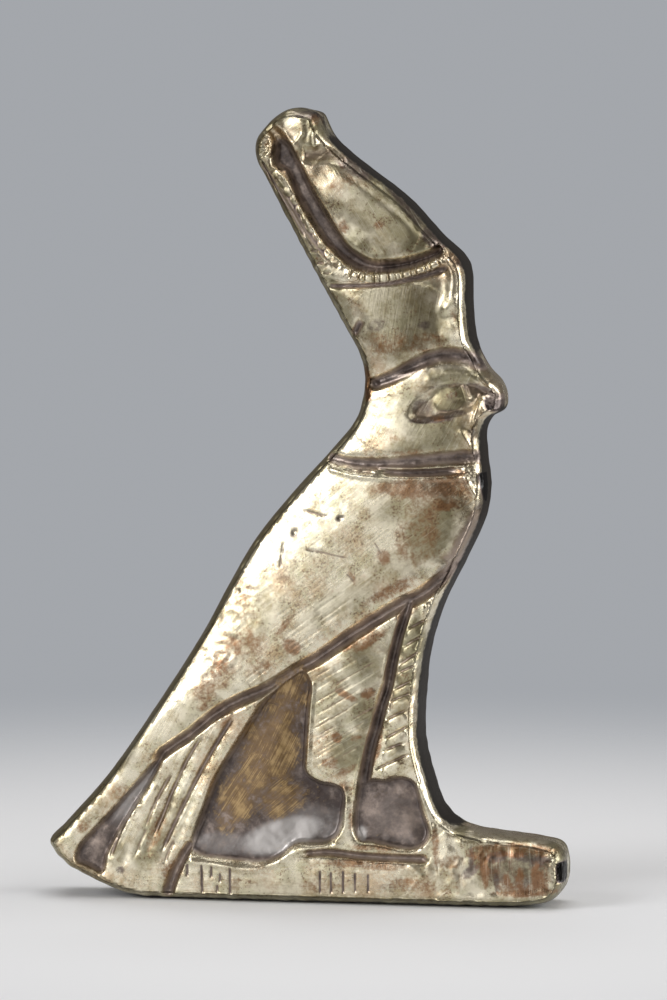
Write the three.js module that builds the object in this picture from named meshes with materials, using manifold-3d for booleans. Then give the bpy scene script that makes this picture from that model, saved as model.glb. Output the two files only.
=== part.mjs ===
// Falcon amulet: one hollow figure pressed in pale gold sheet, standing on its own base.
// Millimetres, +Z up. The front faces -Y, the beak points to +X, and the underside lies on Z = 0.
import * as THREE from 'three';
import { mergeVertices } from 'three/addons/utils/BufferGeometryUtils.js';
import Module from 'manifold-3d';

// Thickness: a straight side wall between two rolled edges, with the pressed faces outside them.
const WALL_HALF = 1.5;
const ROLL_HEIGHT = 1.3;
const ROLL_WIDTH = 1.2;
const ROLL_SPAN = 1.15;
const ROLL_STEPS = 3;
const BLANK_TOP = 2;
const PLATEAU = 1.15;

// Fineness of the outline, of the paths of the cuts and of the two pressed faces.
const SAMPLE = 0.2;
const OUTLINE_TOLERANCE = 0.04;
const PATH_TOLERANCE = 0.03;
const FIELD_CENTRE_Z = 28;
const FIELD_SIZE = 64;
const FIELD_CELLS = 128;
const FIELD_MARGIN = 2.5;
const FACE_TOLERANCE = 0.035;
const BACK_STRENGTH = 0.6;
const BLOCK_DEPTH = 12;

// Cutters stand this far out of the face, and a cut runs out over this length at a closed end.
const CUTTER_LIFT = 0.45;
const RUN_OUT = 0.5;
const RUN_OUT_SHARE = 0.12;
const OPEN = 0;
const FINE_HALF = 0.03;
const FINE_END = 0.25;
const TIP_SHARE = 0.93;
const MITRE_LIMIT = 0.7;
const TIP_LIMIT = 0.01;
const BOSS_SIDES = 16;
const BOSS_SINK = 0.25;
const FRONT = -1;
const BACK = 1;

// The silhouette, clockwise seen from the front, named for the stretch that each list follows.
const SILHOUETTE = {
  tailFoot: [[-8.5, 0], [-12.6, 0.2], [-15.1, 1.15], [-17.4, 2.4]],
  tailTip: [[-18.45, 3.9], [-17.35, 5.2]],
  back: [
    [-14.35, 8.6], [-10.7, 13.8], [-7.45, 18.9], [-5.55, 22.4], [-3.65, 25.6], [-0.8, 29.1], [1.7, 31.85],
  ],
  nape: [[3.4, 33.95], [3.9, 35.4], [4.05, 36.8], [3.75, 38.4], [2.85, 40.1]],
  crownRear: [[1.55, 42.5], [-0.7, 46.65], [-2.75, 50.5]],
  knob: [
    [-3.55, 52.2], [-3.55, 53.35], [-2.65, 54.6], [-1.7, 55.35], [-0.9, 55.6], [0, 55.45], [0.75, 55.2],
    [1.35, 54],
  ],
  crownFront: [
    [2.15, 53.05], [3.8, 51.7], [6.85, 49.4], [9.35, 46.75], [10.9, 45.25], [11.3, 44.2], [11.35, 42.2],
    [11.7, 39.4],
  ],
  beak: [[12.6, 37.65], [13.45, 36.7], [13.85, 35.6], [13.65, 34.7], [12.85, 34.2], [12.35, 33.2]],
  breast: [[12.45, 31.4], [12.65, 29.3], [12.35, 27.25], [10.9, 24], [9.55, 21.3], [8.5, 18]],
  shin: [[8.1, 14.7], [8.05, 11.5], [8.65, 8.9], [9.45, 6.8], [10.3, 5.9]],
  baseEnd: [
    [11.8, 5.35], [13.9, 5.05], [16.4, 4.75], [17.85, 4.3], [18.3, 2.9], [18.05, 1.3], [17.3, 0.5],
    [15.6, 0.1], [13, 0],
  ],
};

// Broad swells of the sheet over the plateau: a tapered axis from one point to another.
const SWELLS = {
  body: { from: [-11, 11], to: [6, 27], reach: [3.2, 8], rise: 0.42 },
  head: { from: [7.6, 33.8], to: [9.4, 35], reach: [4.2, 4.2], rise: 0.3 },
  crown: { from: [8, 39.5], to: [6.5, 43], reach: [4.6, 6], rise: 0.22 },
  bulb: { from: [2, 51], to: [6.6, 47.7], reach: [2.8, 3.6], rise: 0.32 },
  nearThigh: { from: [4, 17.5], to: [2.2, 11], reach: [3.2, 2.4], rise: 0.2 },
  farThigh: { from: [7.6, 18.8], to: [6.8, 11], reach: [2, 2], rise: 0.15 },
  base: { from: [-5, 1.6], to: [15, 2.2], reach: [2.4, 2.6], rise: 0.12 },
  brow: { from: [11.6, 37.3], to: [13, 36.6], reach: [1, 0.9], rise: 0.25 },
  knob: { from: [-0.8, 54.3], to: [0, 54.2], reach: [1.7, 1.6], rise: 0.2 },
};

// Sunk fields: the ground that stays low behind the figure, as closed outlines.
const HOLLOWS = {
  channel: {
    depth: 0.8, flank: 0.34, back: true,
    edge: [[-1.9, 54.2], [-1.9, 52.4], [-0.5, 49.3], [0.9, 46.8], [2.9, 44.8], [5.4, 44.2], [9.4, 45.2],
      [9.4, 46], [6.8, 45.3], [4.1, 45.2], [2.6, 46.8], [0.7, 50.4], [-1.3, 53.6]],
  },
  ground: {
    depth: 0.9, flank: 0.36, back: true,
    edge: [[-1.4, 15.9], [-3, 14.3], [-5.8, 9.7], [-7.2, 6.6], [-8.4, 3.6], [-7.1, 3.2], [-3, 2.9], [-1, 4],
      [2.3, 4.8], [2.6, 7.5], [1.3, 8.4], [-0.1, 9.5], [0.1, 14], [0.4, 15.5], [-0.1, 16.2]],
  },
  legGap: {
    depth: 0.85, flank: 0.34, back: true,
    edge: [[3.6, 4.4], [7.1, 3.9], [8.9, 5.3], [7.9, 7.2], [7.6, 8.5], [6.7, 9], [5, 8.9], [3.8, 7.6]],
  },
  wedge: {
    depth: 0.75, flank: 0.3, back: false,
    edge: [[-10.8, 9.6], [-14, 6.4], [-16.5, 3], [-16.4, 1.6], [-14.8, 1], [-13.7, 4.2], [-11.8, 7.4]],
  },
  eye: {
    depth: 0.42, flank: 0.3, back: true,
    edge: [[7.6, 34.6], [9.5, 36.3], [10.9, 36.7], [12.4, 35.9], [11.2, 34.6], [9.4, 34.2]],
  },
};

// Grooves and chased lines: a path, its half width at each end, and its depth.
const GROOVES = {
  wingEdge: {
    half: [0.3, 0.3], depth: 0.75, flank: 0.36, back: true,
    path: [[10.7, 24.5], [8.1, 21.7], [4, 19.3], [-0.3, 16.5], [-5.6, 13.6], [-8.8, 11.2], [-11, 9.1]],
  },
  thighs: {
    half: [0.3, 0.4], depth: 0.75, flank: 0.34, back: true,
    path: [[7.4, 21], [6, 15.9], [4.8, 11.3], [3.9, 7.4]],
  },
  tailFoot: {
    half: [0.15, 0.3], depth: 0.6, flank: 0.3, back: false,
    path: [[-8.3, 3.9], [-9.3, 1.3], [-9.8, -0.6]],
  },
  browBand: {
    half: [0.16, 0.16], depth: 0.5, flank: 0.5, back: true,
    path: [[3.4, 36.3], [5.3, 37], [8.1, 38.2], [10.7, 38.6], [13.4, 37.8]],
  },
  neckUpper: {
    half: [0.2, 0.2], depth: 0.42, flank: 0.34, back: true,
    path: [[0.6, 31.2], [5.4, 30.95], [13, 31.7]],
  },
  neckLower: {
    half: [0.1, 0.1], depth: 0.5, flank: 0.24, back: false,
    path: [[1, 30.65], [5.3, 30.4], [11.1, 30.5]],
  },
  footSlot: {
    half: [0.12, 0.16], depth: 0.5, flank: 0.24, back: false,
    path: [[-0.1, 3.55], [5.1, 3.2], [9.2, 3.35]],
  },
  crownLine: {
    half: [0.04, 0.06], depth: 0.28, flank: 0.24, back: false,
    path: [[1.1, 43.3], [5.8, 43.4], [10.3, 44.7]],
  },
  collar: {
    half: [0.12, 0.12], depth: 0.42, flank: 0.32, back: true,
    path: [[-0.8, 52.6], [0.9, 52.3], [3, 53]],
  },
  beakLine: {
    half: [0.1, 0.16], depth: 0.4, flank: 0.26, back: true,
    path: [[11.9, 36.5], [12.9, 35.6], [14.6, 35.4]],
  },
  quillLong: {
    half: [0.03, 0.05], depth: 0.3, flank: 0.26, back: false,
    path: [[-5, 13], [-7.3, 9.3], [-10.9, 1.4]],
  },
  quillMiddle: {
    half: [0.03, 0.05], depth: 0.3, flank: 0.26, back: false,
    path: [[-6.9, 12.2], [-8.8, 8.4], [-10.9, 4.3]],
  },
  quillShort: {
    half: [0.02, 0.04], depth: 0.26, flank: 0.26, back: false,
    path: [[-9.2, 9.4], [-10.4, 7.4], [-11.3, 4.8]],
  },
  quillOuter: {
    half: [0.02, 0.04], depth: 0.26, flank: 0.26, back: false,
    path: [[-11.9, 7.4], [-12.8, 4.8], [-13.8, 2.6]],
  },
};

// Short repeated cuts, each row spread evenly along a line.
const CUT_ROWS = {
  thighFeathers: {
    from: [8.1, 19.9], to: [7.2, 10.6],
    count: 10, stroke: [1.5, 0.75], depth: 0.26, flank: 0.24,
  },
  baseLeft: {
    from: [-7.6, 1.8], to: [-5.2, 1.7],
    count: 4, stroke: [0, 1.1], depth: 0.2, flank: 0.2,
  },
  baseMiddle: {
    from: [1.2, 1.7], to: [4.6, 1.7],
    count: 5, stroke: [0, 1.5], depth: 0.2, flank: 0.2,
  },
};

// The toothed inner rim of the crown: notches square to the channel's outer edge.
const RIM_PATH = [[-2, 51.6], [-0.6, 49.1], [0.8, 46.7], [2.8, 44.7], [5.4, 44.1], [9.2, 45]];
const RIM_NOTCHES = 18;
const RIM_NOTCH_LENGTH = 0.55;
const RIM_NOTCH_DEPTH = 0.26;
const RIM_NOTCH_FLANK = 0.22;

// Raised eyeball and the scroll boss at the crown's rear corner.
const EYEBALL = { centre: [10.1, 35.6], radii: [1.15, 0.8], turn: 0.25, rise: 0.42 };
const BOSS = { centre: [-2.6, 52.9], radii: [0.75, 1.15], turn: -0.25, rise: 0.22 };

// Tears in the side wall behind the front border: where the wall stands, the heights between which
// the sheet has split, and how far the split goes in and across.
const TEARS = {
  breast: { wall: 12.6, heights: [28.5, 30.6], depth: 0.5, span: [-1.7, -0.5] },
  baseEnd: { wall: 18.2, heights: [1.4, 3.1], depth: 0.5, span: [-1.7, -0.6] },
};
const TEAR_LIFT = 0.5;
const TEAR_END_SHARE = 0.15;

const SHEET_COLOUR = 0xc9bf92;
const SHEET_ROUGHNESS = 0.32;
const SHEET_METALNESS = 1;

const wasm = await Module();
wasm.setup();

// Points [x, z] along a centripetal spline, as few as keep within the tolerance of it.
function splinePoints(points, closed, tolerance) {
  const knots = points.map(([x, z]) => new THREE.Vector3(x, 0, z));
  const curve = new THREE.CatmullRomCurve3(knots, closed, 'centripetal');
  const spaced = curve.getSpacedPoints(Math.ceil(curve.getLength() / SAMPLE)).map((p) => [p.x, p.z]);
  if (!closed) return simplified(spaced, tolerance);
  const half = Math.floor(spaced.length / 2);
  return [...simplified(spaced.slice(0, half + 1), tolerance).slice(0, -1),
    ...simplified(spaced.slice(half), tolerance).slice(0, -1)];
}

// Drops the points of an open path that lie within the tolerance of the straight line past them.
function simplified(points, tolerance) {
  const [ax, az] = points[0];
  const [bx, bz] = points[points.length - 1];
  const run = Math.hypot(bx - ax, bz - az);
  let worst = 0;
  let at = 0;
  points.forEach(([x, z], i) => {
    const off = Math.abs((bx - ax) * (z - az) - (bz - az) * (x - ax)) / run;
    if (off > worst) [worst, at] = [off, i];
  });
  if (worst <= tolerance) return [points[0], points[points.length - 1]];
  const before = simplified(points.slice(0, at + 1), tolerance);
  return [...before.slice(0, -1), ...simplified(points.slice(at), tolerance)];
}

// Distance from a point to a path, and how far along the path the nearest place lies, from 0 to 1.
function nearest(path, closed, x, z) {
  const last = closed ? path.length : path.length - 1;
  let best = Infinity;
  let along = 0;
  for (let i = 0; i < last; i += 1) {
    const [ax, az] = path[i];
    const [bx, bz] = path[(i + 1) % path.length];
    const ux = bx - ax;
    const uz = bz - az;
    const t = THREE.MathUtils.clamp(((x - ax) * ux + (z - az) * uz) / (ux * ux + uz * uz), 0, 1);
    const dx = x - ax - t * ux;
    const dz = z - az - t * uz;
    const square = dx * dx + dz * dz;
    if (square < best) {
      best = square;
      along = (i + t) / last;
    }
  }
  return { gap: Math.sqrt(best), along };
}

// Distance to a closed path, positive inside it, where crossings of a level line are odd.
function signedDistance(path, x, z) {
  let within = false;
  for (let i = 0, j = path.length - 1; i < path.length; j = i, i += 1) {
    const [ax, az] = path[i];
    const [bx, bz] = path[j];
    if (az > z !== bz > z && x < ((bx - ax) * (z - az)) / (bz - az) + ax) within = !within;
  }
  const { gap } = nearest(path, true, x, z);
  return within ? gap : -gap;
}

// Unit normal of the stretch from one point to the next, to the left of it, times `turn`.
function sideways([ax, az], [bx, bz], turn) {
  const run = Math.hypot(bx - ax, bz - az) * turn;
  return [-(bz - az) / run, (bx - ax) / run];
}

// A closed path moved inwards, or outwards where `inset` is negative, and by less where a tip is narrow.
// A corner moves along the middle of its two normals, far enough to keep both sides parallel.
function insetRing(path, inset) {
  const turn = THREE.ShapeUtils.area(path.map(([x, z]) => new THREE.Vector2(x, z))) > 0 ? 1 : -1;
  return path.map(([x, z], i) => {
    const before = sideways(path[(i + path.length - 1) % path.length], [x, z], turn);
    const after = sideways([x, z], path[(i + 1) % path.length], turn);
    const spread = Math.max(MITRE_LIMIT, 1 + before[0] * after[0] + before[1] * after[1]);
    const inward = [(before[0] + after[0]) / spread, (before[1] + after[1]) / spread];
    const moved = (shift) => [x + inward[0] * shift, z + inward[1] * shift];
    const crowded = (shift) => nearest(path, true, ...moved(shift)).gap < TIP_SHARE * Math.abs(shift);
    let shift = inset;
    while (Math.abs(shift) > TIP_LIMIT && crowded(shift)) shift *= TIP_SHARE;
    return moved(shift);
  });
}

// A closed solid through a stack of rings of equal count, with `cap` as the triangles of an end ring.
function loft(rings, cap) {
  const count = rings[0].length;
  const faces = [];
  for (let k = 0; k < rings.length - 1; k += 1) {
    for (let i = 0; i < count; i += 1) {
      const a = k * count + i;
      const b = k * count + ((i + 1) % count);
      faces.push(a, b, a + count, b, b + count, a + count);
    }
  }
  const last = (rings.length - 1) * count;
  cap.forEach(([a, b, c]) => faces.push(a, c, b, last + a, last + b, last + c));
  return toManifold(rings.flat(2), faces);
}

// Loft through flat rings of one shape, each inset from it and at its own y.
function flatLoft(shape, levels) {
  const area = THREE.ShapeUtils.area(shape.map(([x, z]) => new THREE.Vector2(x, z)));
  const ring = area > 0 ? shape : [...shape].reverse();
  const cap = THREE.ShapeUtils.triangulateShape(ring.map(([x, z]) => new THREE.Vector2(x, z)), []);
  return loft(levels.map(({ inset, y }) => insetRing(ring, inset).map(([x, z]) => [x, y, z])), cap);
}

// A solid from a closed mesh of shared vertices, turned inside out first where its faces point inwards.
function toManifold(vertices, faces) {
  let volume = 0;
  for (let i = 0; i < faces.length; i += 3) {
    const [a, b, c] = [0, 1, 2].map((k) => new THREE.Vector3().fromArray(vertices, 3 * faces[i + k]));
    volume += a.dot(b.cross(c));
  }
  const outward = volume > 0 ? faces : [...faces].reverse();
  return new wasm.Manifold(new wasm.Mesh({
    numProp: 3,
    vertProperties: new Float32Array(vertices),
    triVerts: new Uint32Array(outward),
  }));
}

// The silhouette as one open spline. The underside closes it as a straight line at Z = 0.
const outline = splinePoints(Object.values(SILHOUETTE).flat(), false, OUTLINE_TOLERANCE);

// Dome of one swell: 1 on its axis and 0 at its reach, which changes from one end to the other.
function swellHeight(swell, x, z) {
  const { gap, along } = nearest([swell.from, swell.to], false, x, z);
  const ratio = gap / THREE.MathUtils.lerp(swell.reach[0], swell.reach[1], along);
  return ratio >= 1 ? 0 : swell.rise * (1 - ratio * ratio) ** 2;
}

// Height of a pressed face over the side wall's edge: the plateau and its swells.
function faceHeight(strength, x, z) {
  return PLATEAU + strength * Object.values(SWELLS).reduce((sum, form) => sum + swellHeight(form, x, z), 0);
}

// Cutter for a sunk field with a level floor and sloping flanks. `side` is -1 in front and 1 behind.
function hollowCutter({ edge, depth, flank }, side, strength) {
  const path = splinePoints(edge, true, PATH_TOLERANCE);
  const sunk = depth * strength;
  return flatLoft(path, [
    { inset: flank / 2, y: side * (WALL_HALF + PLATEAU - sunk) },
    { inset: -flank / 2 - (flank * CUTTER_LIFT) / sunk, y: side * (WALL_HALF + PLATEAU + CUTTER_LIFT) },
  ]);
}

// Cutter for a groove: a tapered trough along a path, as deep below the face all the way. It runs out
// to nothing over the length given for each end, or stays open there where that is 0.
function grooveCutter({ path, half, depth, flank, ends = [RUN_OUT, RUN_OUT] }, side, strength) {
  const line = splinePoints(path, false, PATH_TOLERANCE);
  const runs = [0];
  for (let i = 1; i < line.length; i += 1) {
    runs.push(runs[i - 1] + Math.hypot(line[i][0] - line[i - 1][0], line[i][1] - line[i - 1][1]));
  }
  const length = runs[runs.length - 1];
  const rings = line.map(([x, z], i) => {
    const [px, pz] = line[Math.max(i - 1, 0)];
    const [nx, nz] = line[Math.min(i + 1, line.length - 1)];
    const run = Math.hypot(nx - px, nz - pz);
    const across = [(nz - pz) / run, -(nx - px) / run];
    const entry = ends[0] === OPEN ? 1 : runs[i] / ends[0];
    const exit = ends[1] === OPEN ? 1 : (length - runs[i]) / ends[1];
    const share = THREE.MathUtils.lerp(RUN_OUT_SHARE, 1, Math.min(1, entry, exit));
    const surface = WALL_HALF + faceHeight(strength, x, z);
    const width = THREE.MathUtils.lerp(half[0], half[1], runs[i] / length) * share;
    const sunk = depth * strength * share;
    const slope = flank / (depth * strength);
    const corner = (sign, level) => {
      const reach = sign * (width + slope * (sunk + level));
      return [x + across[0] * reach, side * (surface + level), z + across[1] * reach];
    };
    return [corner(-1, -sunk), corner(1, -sunk), corner(1, CUTTER_LIFT), corner(-1, CUTTER_LIFT)];
  });
  return loft(rings, [[0, 1, 2], [0, 2, 3]]);
}

// Short cuts of one row, evenly spread from its first place to its last.
function rowGrooves({ from, to, count, stroke, depth, flank }) {
  return Array.from({ length: count }, (_, i) => {
    const t = i / (count - 1);
    const x = THREE.MathUtils.lerp(from[0], to[0], t);
    const z = THREE.MathUtils.lerp(from[1], to[1], t);
    const middle = [x, z];
    const start = [x - stroke[0] / 2, z - stroke[1] / 2];
    const end = [x + stroke[0] / 2, z + stroke[1] / 2];
    return {
      path: [start, middle, end],
      half: [FINE_HALF, FINE_HALF],
      depth,
      flank,
      ends: [FINE_END, FINE_END],
    };
  });
}

// Notches across the crown's inner rim, from the channel outwards.
function rimGrooves() {
  const knots = RIM_PATH.map(([x, z]) => new THREE.Vector3(x, 0, z));
  const curve = new THREE.CatmullRomCurve3(knots, false, 'centripetal');
  return Array.from({ length: RIM_NOTCHES }, (_, i) => {
    const t = (i + 0.5) / RIM_NOTCHES;
    const foot = curve.getPointAt(t);
    const along = curve.getTangentAt(t);
    const tip = [foot.x + along.z * RIM_NOTCH_LENGTH, foot.z - along.x * RIM_NOTCH_LENGTH];
    const middle = [(foot.x + tip[0]) / 2, (foot.z + tip[1]) / 2];
    return {
      path: [[foot.x, foot.z], middle, tip],
      half: [FINE_HALF, FINE_HALF],
      depth: RIM_NOTCH_DEPTH,
      flank: RIM_NOTCH_FLANK,
      ends: [OPEN, FINE_END],
    };
  });
}

// Cutter for a tear: a wedge that is deepest half way up and nearly closes at both ends.
function tearCutter({ wall, heights, depth, span }) {
  const middle = (span[0] + span[1]) / 2;
  const half = (span[1] - span[0]) / 2;
  const mid = (heights[0] + heights[1]) / 2;
  const rings = [[heights[0], TEAR_END_SHARE], [mid, 1], [heights[1], TEAR_END_SHARE]].map(([z, share]) => [
    [wall - depth * share, middle, z],
    [wall + TEAR_LIFT, middle + half * share, z],
    [wall + TEAR_LIFT, middle - half * share, z],
  ]);
  return loft(rings, [[0, 1, 2]]);
}

// A low oval boss that stands on the face.
function bossSolid({ centre, radii, turn, rise }, side, strength) {
  const geometry = new THREE.SphereGeometry(1, BOSS_SIDES, BOSS_SIDES / 2);
  geometry.rotateX(Math.PI / 2);
  geometry.scale(radii[0], rise * 2, radii[1]);
  geometry.rotateY(-turn);
  const surface = WALL_HALF + faceHeight(strength, centre[0], centre[1]) - rise - BOSS_SINK;
  geometry.translate(centre[0], side * surface, centre[1]);
  geometry.deleteAttribute('normal');
  geometry.deleteAttribute('uv');
  const merged = mergeVertices(geometry);
  return toManifold([...merged.attributes.position.array], [...merged.index.array]);
}

// Right-triangulated net over a square field of heights: a triangle is split while the middle of its
// long side would stand further than the tolerance from the true height.
function adaptiveNet(heights, weights, tolerance) {
  const size = FIELD_CELLS + 1;
  const errors = new Float32Array(size * size);
  const at = (x, y) => y * size + x;
  const triangleCount = FIELD_CELLS * FIELD_CELLS * 2 - 2;
  for (let i = triangleCount - 1; i >= 0; i -= 1) {
    let id = i + 2;
    let [ax, ay, bx, by, cx, cy] = [0, 0, 0, 0, 0, 0];
    if (id & 1) [bx, by, cx] = [FIELD_CELLS, FIELD_CELLS, FIELD_CELLS];
    else [ax, ay, cy] = [FIELD_CELLS, FIELD_CELLS, FIELD_CELLS];
    while (id > 3) {
      id >>= 1;
      const mx = (ax + bx) >> 1;
      const my = (ay + by) >> 1;
      if (id & 1) [bx, by, ax, ay] = [ax, ay, cx, cy];
      else [ax, ay, bx, by] = [bx, by, cx, cy];
      [cx, cy] = [mx, my];
    }
    const middle = at((ax + bx) >> 1, (ay + by) >> 1);
    const flat = (heights[at(ax, ay)] + heights[at(bx, by)]) / 2;
    errors[middle] = Math.max(errors[middle], Math.abs(flat - heights[middle]) * weights[middle]);
    if (i < triangleCount - FIELD_CELLS * FIELD_CELLS) {
      const left = at((ax + cx) >> 1, (ay + cy) >> 1);
      const right = at((bx + cx) >> 1, (by + cy) >> 1);
      errors[middle] = Math.max(errors[middle], errors[left], errors[right]);
    }
  }
  const triangles = [];
  const split = (ax, ay, bx, by, cx, cy) => {
    const mx = (ax + bx) >> 1;
    const my = (ay + by) >> 1;
    if (Math.abs(ax - cx) + Math.abs(ay - cy) > 1 && errors[at(mx, my)] > tolerance) {
      split(cx, cy, ax, ay, mx, my);
      split(bx, by, cx, cy, mx, my);
    } else {
      triangles.push([at(ax, ay), at(bx, by), at(cx, cy)]);
    }
  };
  split(0, 0, FIELD_CELLS, FIELD_CELLS, FIELD_CELLS, 0);
  split(FIELD_CELLS, FIELD_CELLS, 0, 0, 0, FIELD_CELLS);
  return triangles;
}

// A closed block under one pressed face, before the cuts.
function faceBlock(side, strength) {
  const size = FIELD_CELLS + 1;
  const cell = FIELD_SIZE / FIELD_CELLS;
  const heights = new Float32Array(size * size).fill(PLATEAU);
  const weights = new Float32Array(size * size);
  const place = (index) => [
    (index % size) * cell - FIELD_SIZE / 2,
    FIELD_CENTRE_Z - FIELD_SIZE / 2 + Math.floor(index / size) * cell,
  ];
  heights.forEach((_, index) => {
    const [x, z] = place(index);
    const rimGap = signedDistance(outline, x, z);
    if (rimGap < -FIELD_MARGIN) return;
    heights[index] = faceHeight(strength, x, z);
    weights[index] = rimGap > -cell ? 1 : 0;
  });
  const vertices = [];
  const topOf = new Map();
  const vertex = (index) => {
    if (!topOf.has(index)) {
      const [x, z] = place(index);
      topOf.set(index, vertices.length / 3);
      vertices.push(x, side * (WALL_HALF + heights[index]), z, x, -side * BLOCK_DEPTH, z);
    }
    return topOf.get(index);
  };
  const faces = [];
  const rim = new Map();
  adaptiveNet(heights, weights, FACE_TOLERANCE).forEach((corners) => {
    const [a, b, c] = corners.map(vertex);
    faces.push(a, b, c, a + 1, c + 1, b + 1);
    [[a, b], [b, c], [c, a]].forEach(([from, to]) => {
      if (!rim.delete(`${to},${from}`)) rim.set(`${from},${to}`, [from, to]);
    });
  });
  rim.forEach(([from, to]) => faces.push(to, from, from + 1, to, from + 1, to + 1));
  return toManifold(vertices, faces);
}

// The silhouette drawn out through the thickness, with both rims rolled inwards as far as the pressed
// faces need them, and then straight out past the faces.
function rolledBlank() {
  const levels = [];
  for (let k = 0; k <= ROLL_STEPS; k += 1) {
    const angle = (k / ROLL_STEPS) * ROLL_SPAN;
    const inset = ROLL_WIDTH * (1 - Math.cos(angle));
    levels.push({ inset, y: WALL_HALF + ROLL_HEIGHT * Math.sin(angle) });
  }
  levels.push({ inset: levels[ROLL_STEPS].inset, y: WALL_HALF + BLANK_TOP });
  return flatLoft(outline, [...levels.map(({ inset, y }) => ({ inset, y: -y })).reverse(), ...levels]);
}

// One side's cuts joined to a single solid.
function faceCutters(side, strength, hollows, grooves) {
  return [
    ...hollows.map((hollow) => hollowCutter(hollow, side, strength)),
    ...grooves.map((groove) => grooveCutter(groove, side, strength)),
  ].reduce((joined, cutter) => joined.add(cutter));
}

function toGeometry(solid) {
  const mesh = solid.getMesh();
  const geometry = new THREE.BufferGeometry();
  geometry.setAttribute('position', new THREE.BufferAttribute(mesh.vertProperties, 3));
  geometry.setIndex(new THREE.BufferAttribute(mesh.triVerts, 1));
  geometry.computeVertexNormals();
  return geometry;
}

// Moves a figure sideways so that the origin lies under the middle of its box.
function centred(geometry) {
  geometry.computeBoundingBox();
  const middle = geometry.boundingBox.getCenter(new THREE.Vector3());
  return geometry.translate(-middle.x, -middle.y, 0);
}

function makeFalcon() {
  const hollows = Object.values(HOLLOWS);
  const grooves = Object.values(GROOVES);
  const fineGrooves = [...Object.values(CUT_ROWS).flatMap(rowGrooves), ...rimGrooves()];
  const backHollows = hollows.filter((hollow) => hollow.back);
  const backGrooves = grooves.filter((groove) => groove.back);
  const tears = Object.values(TEARS).map(tearCutter).reduce((joined, cutter) => joined.add(cutter));
  const solid = rolledBlank()
    .intersect(faceBlock(FRONT, 1))
    .intersect(faceBlock(BACK, BACK_STRENGTH))
    .subtract(faceCutters(FRONT, 1, hollows, [...grooves, ...fineGrooves]))
    .subtract(faceCutters(BACK, BACK_STRENGTH, backHollows, backGrooves))
    .subtract(tears)
    .add(bossSolid(EYEBALL, FRONT, 1))
    .add(bossSolid(EYEBALL, BACK, BACK_STRENGTH))
    .add(bossSolid(BOSS, FRONT, 1));
  const sheet = new THREE.MeshStandardMaterial({
    color: SHEET_COLOUR,
    roughness: SHEET_ROUGHNESS,
    metalness: SHEET_METALNESS,
  });
  const falcon = new THREE.Mesh(centred(toGeometry(solid)), sheet);
  falcon.name = 'falcon_amulet';
  return falcon;
}

const amulet = new THREE.Group();
amulet.add(makeFalcon());

export default amulet;
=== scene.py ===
"""Falcon amulet: worn pale gold sheet, pressed over a standing falcon in its tall double crown.

Shapes are worked out in millimetres, with +Z up and the pressed front towards -Y, and are turned into
metres only when a mesh is made.
"""
from __future__ import annotations

import logging
import math
from dataclasses import dataclass, field
from enum import Enum

import bpy
import numpy as np
from mathutils import Matrix, Vector
from mathutils.geometry import delaunay_2d_cdt

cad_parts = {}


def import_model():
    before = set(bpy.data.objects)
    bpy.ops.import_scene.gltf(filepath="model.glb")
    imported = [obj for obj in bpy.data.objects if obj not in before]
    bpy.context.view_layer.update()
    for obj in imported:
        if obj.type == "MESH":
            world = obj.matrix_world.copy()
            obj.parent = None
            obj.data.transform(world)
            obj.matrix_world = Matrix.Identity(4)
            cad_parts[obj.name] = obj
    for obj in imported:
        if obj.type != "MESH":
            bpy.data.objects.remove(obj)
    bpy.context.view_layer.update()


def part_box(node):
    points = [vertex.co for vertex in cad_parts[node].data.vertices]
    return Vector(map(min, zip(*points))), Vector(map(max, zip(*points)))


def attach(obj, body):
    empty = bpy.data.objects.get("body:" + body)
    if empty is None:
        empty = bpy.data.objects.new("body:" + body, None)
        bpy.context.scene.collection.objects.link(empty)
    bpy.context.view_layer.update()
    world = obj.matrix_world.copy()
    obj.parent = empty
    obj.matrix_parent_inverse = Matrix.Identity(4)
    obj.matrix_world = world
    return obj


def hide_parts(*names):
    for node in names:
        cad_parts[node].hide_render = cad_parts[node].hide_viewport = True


Array = np.ndarray
Point = tuple[float, float]
Path = list[Point]

MM = 0.001
NODE = "falcon_amulet"
BODY = "root"
# Tarnish value that marks a tear; the finish paints it black as painted shade of the hole.
HOLE_TONE = 2.0


class Side(Enum):
    """The two pressed faces, by the sign of Y that they look towards."""

    FRONT = -1
    BACK = 1


class End(Enum):
    """How a groove ends: run out to nothing, or carried on over the rim."""

    CLOSED = "closed"
    OPEN = "open"


class Tint(Enum):
    """Colours of a mark on the sheet: reddish stain; olive patina, which along the rims and the crown's front edge is
    also painted shade; purple-grey film, partly painted shade on the crown's front edge; and a grey painted reflection
    on sunk floors.
    """

    RED = "stain"
    OLIVE = "patina"
    PLUM = "film"
    # A grey painted reflection, laid on sunk floors where they would catch light.
    PAINTED_REFLECTION = "painted_reflection"


# Number work on whole arrays


def ease(t: Array) -> Array:
    """Rise from 0 to 1 with a level start and end: t squared times (3 - 2t).

    Args:
        t: Places along the rise, clipped to 0..1.

    Returns:
        The eased values.
    """
    u = np.clip(t, 0.0, 1.0)
    return u * u * (3.0 - 2.0 * u)


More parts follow.
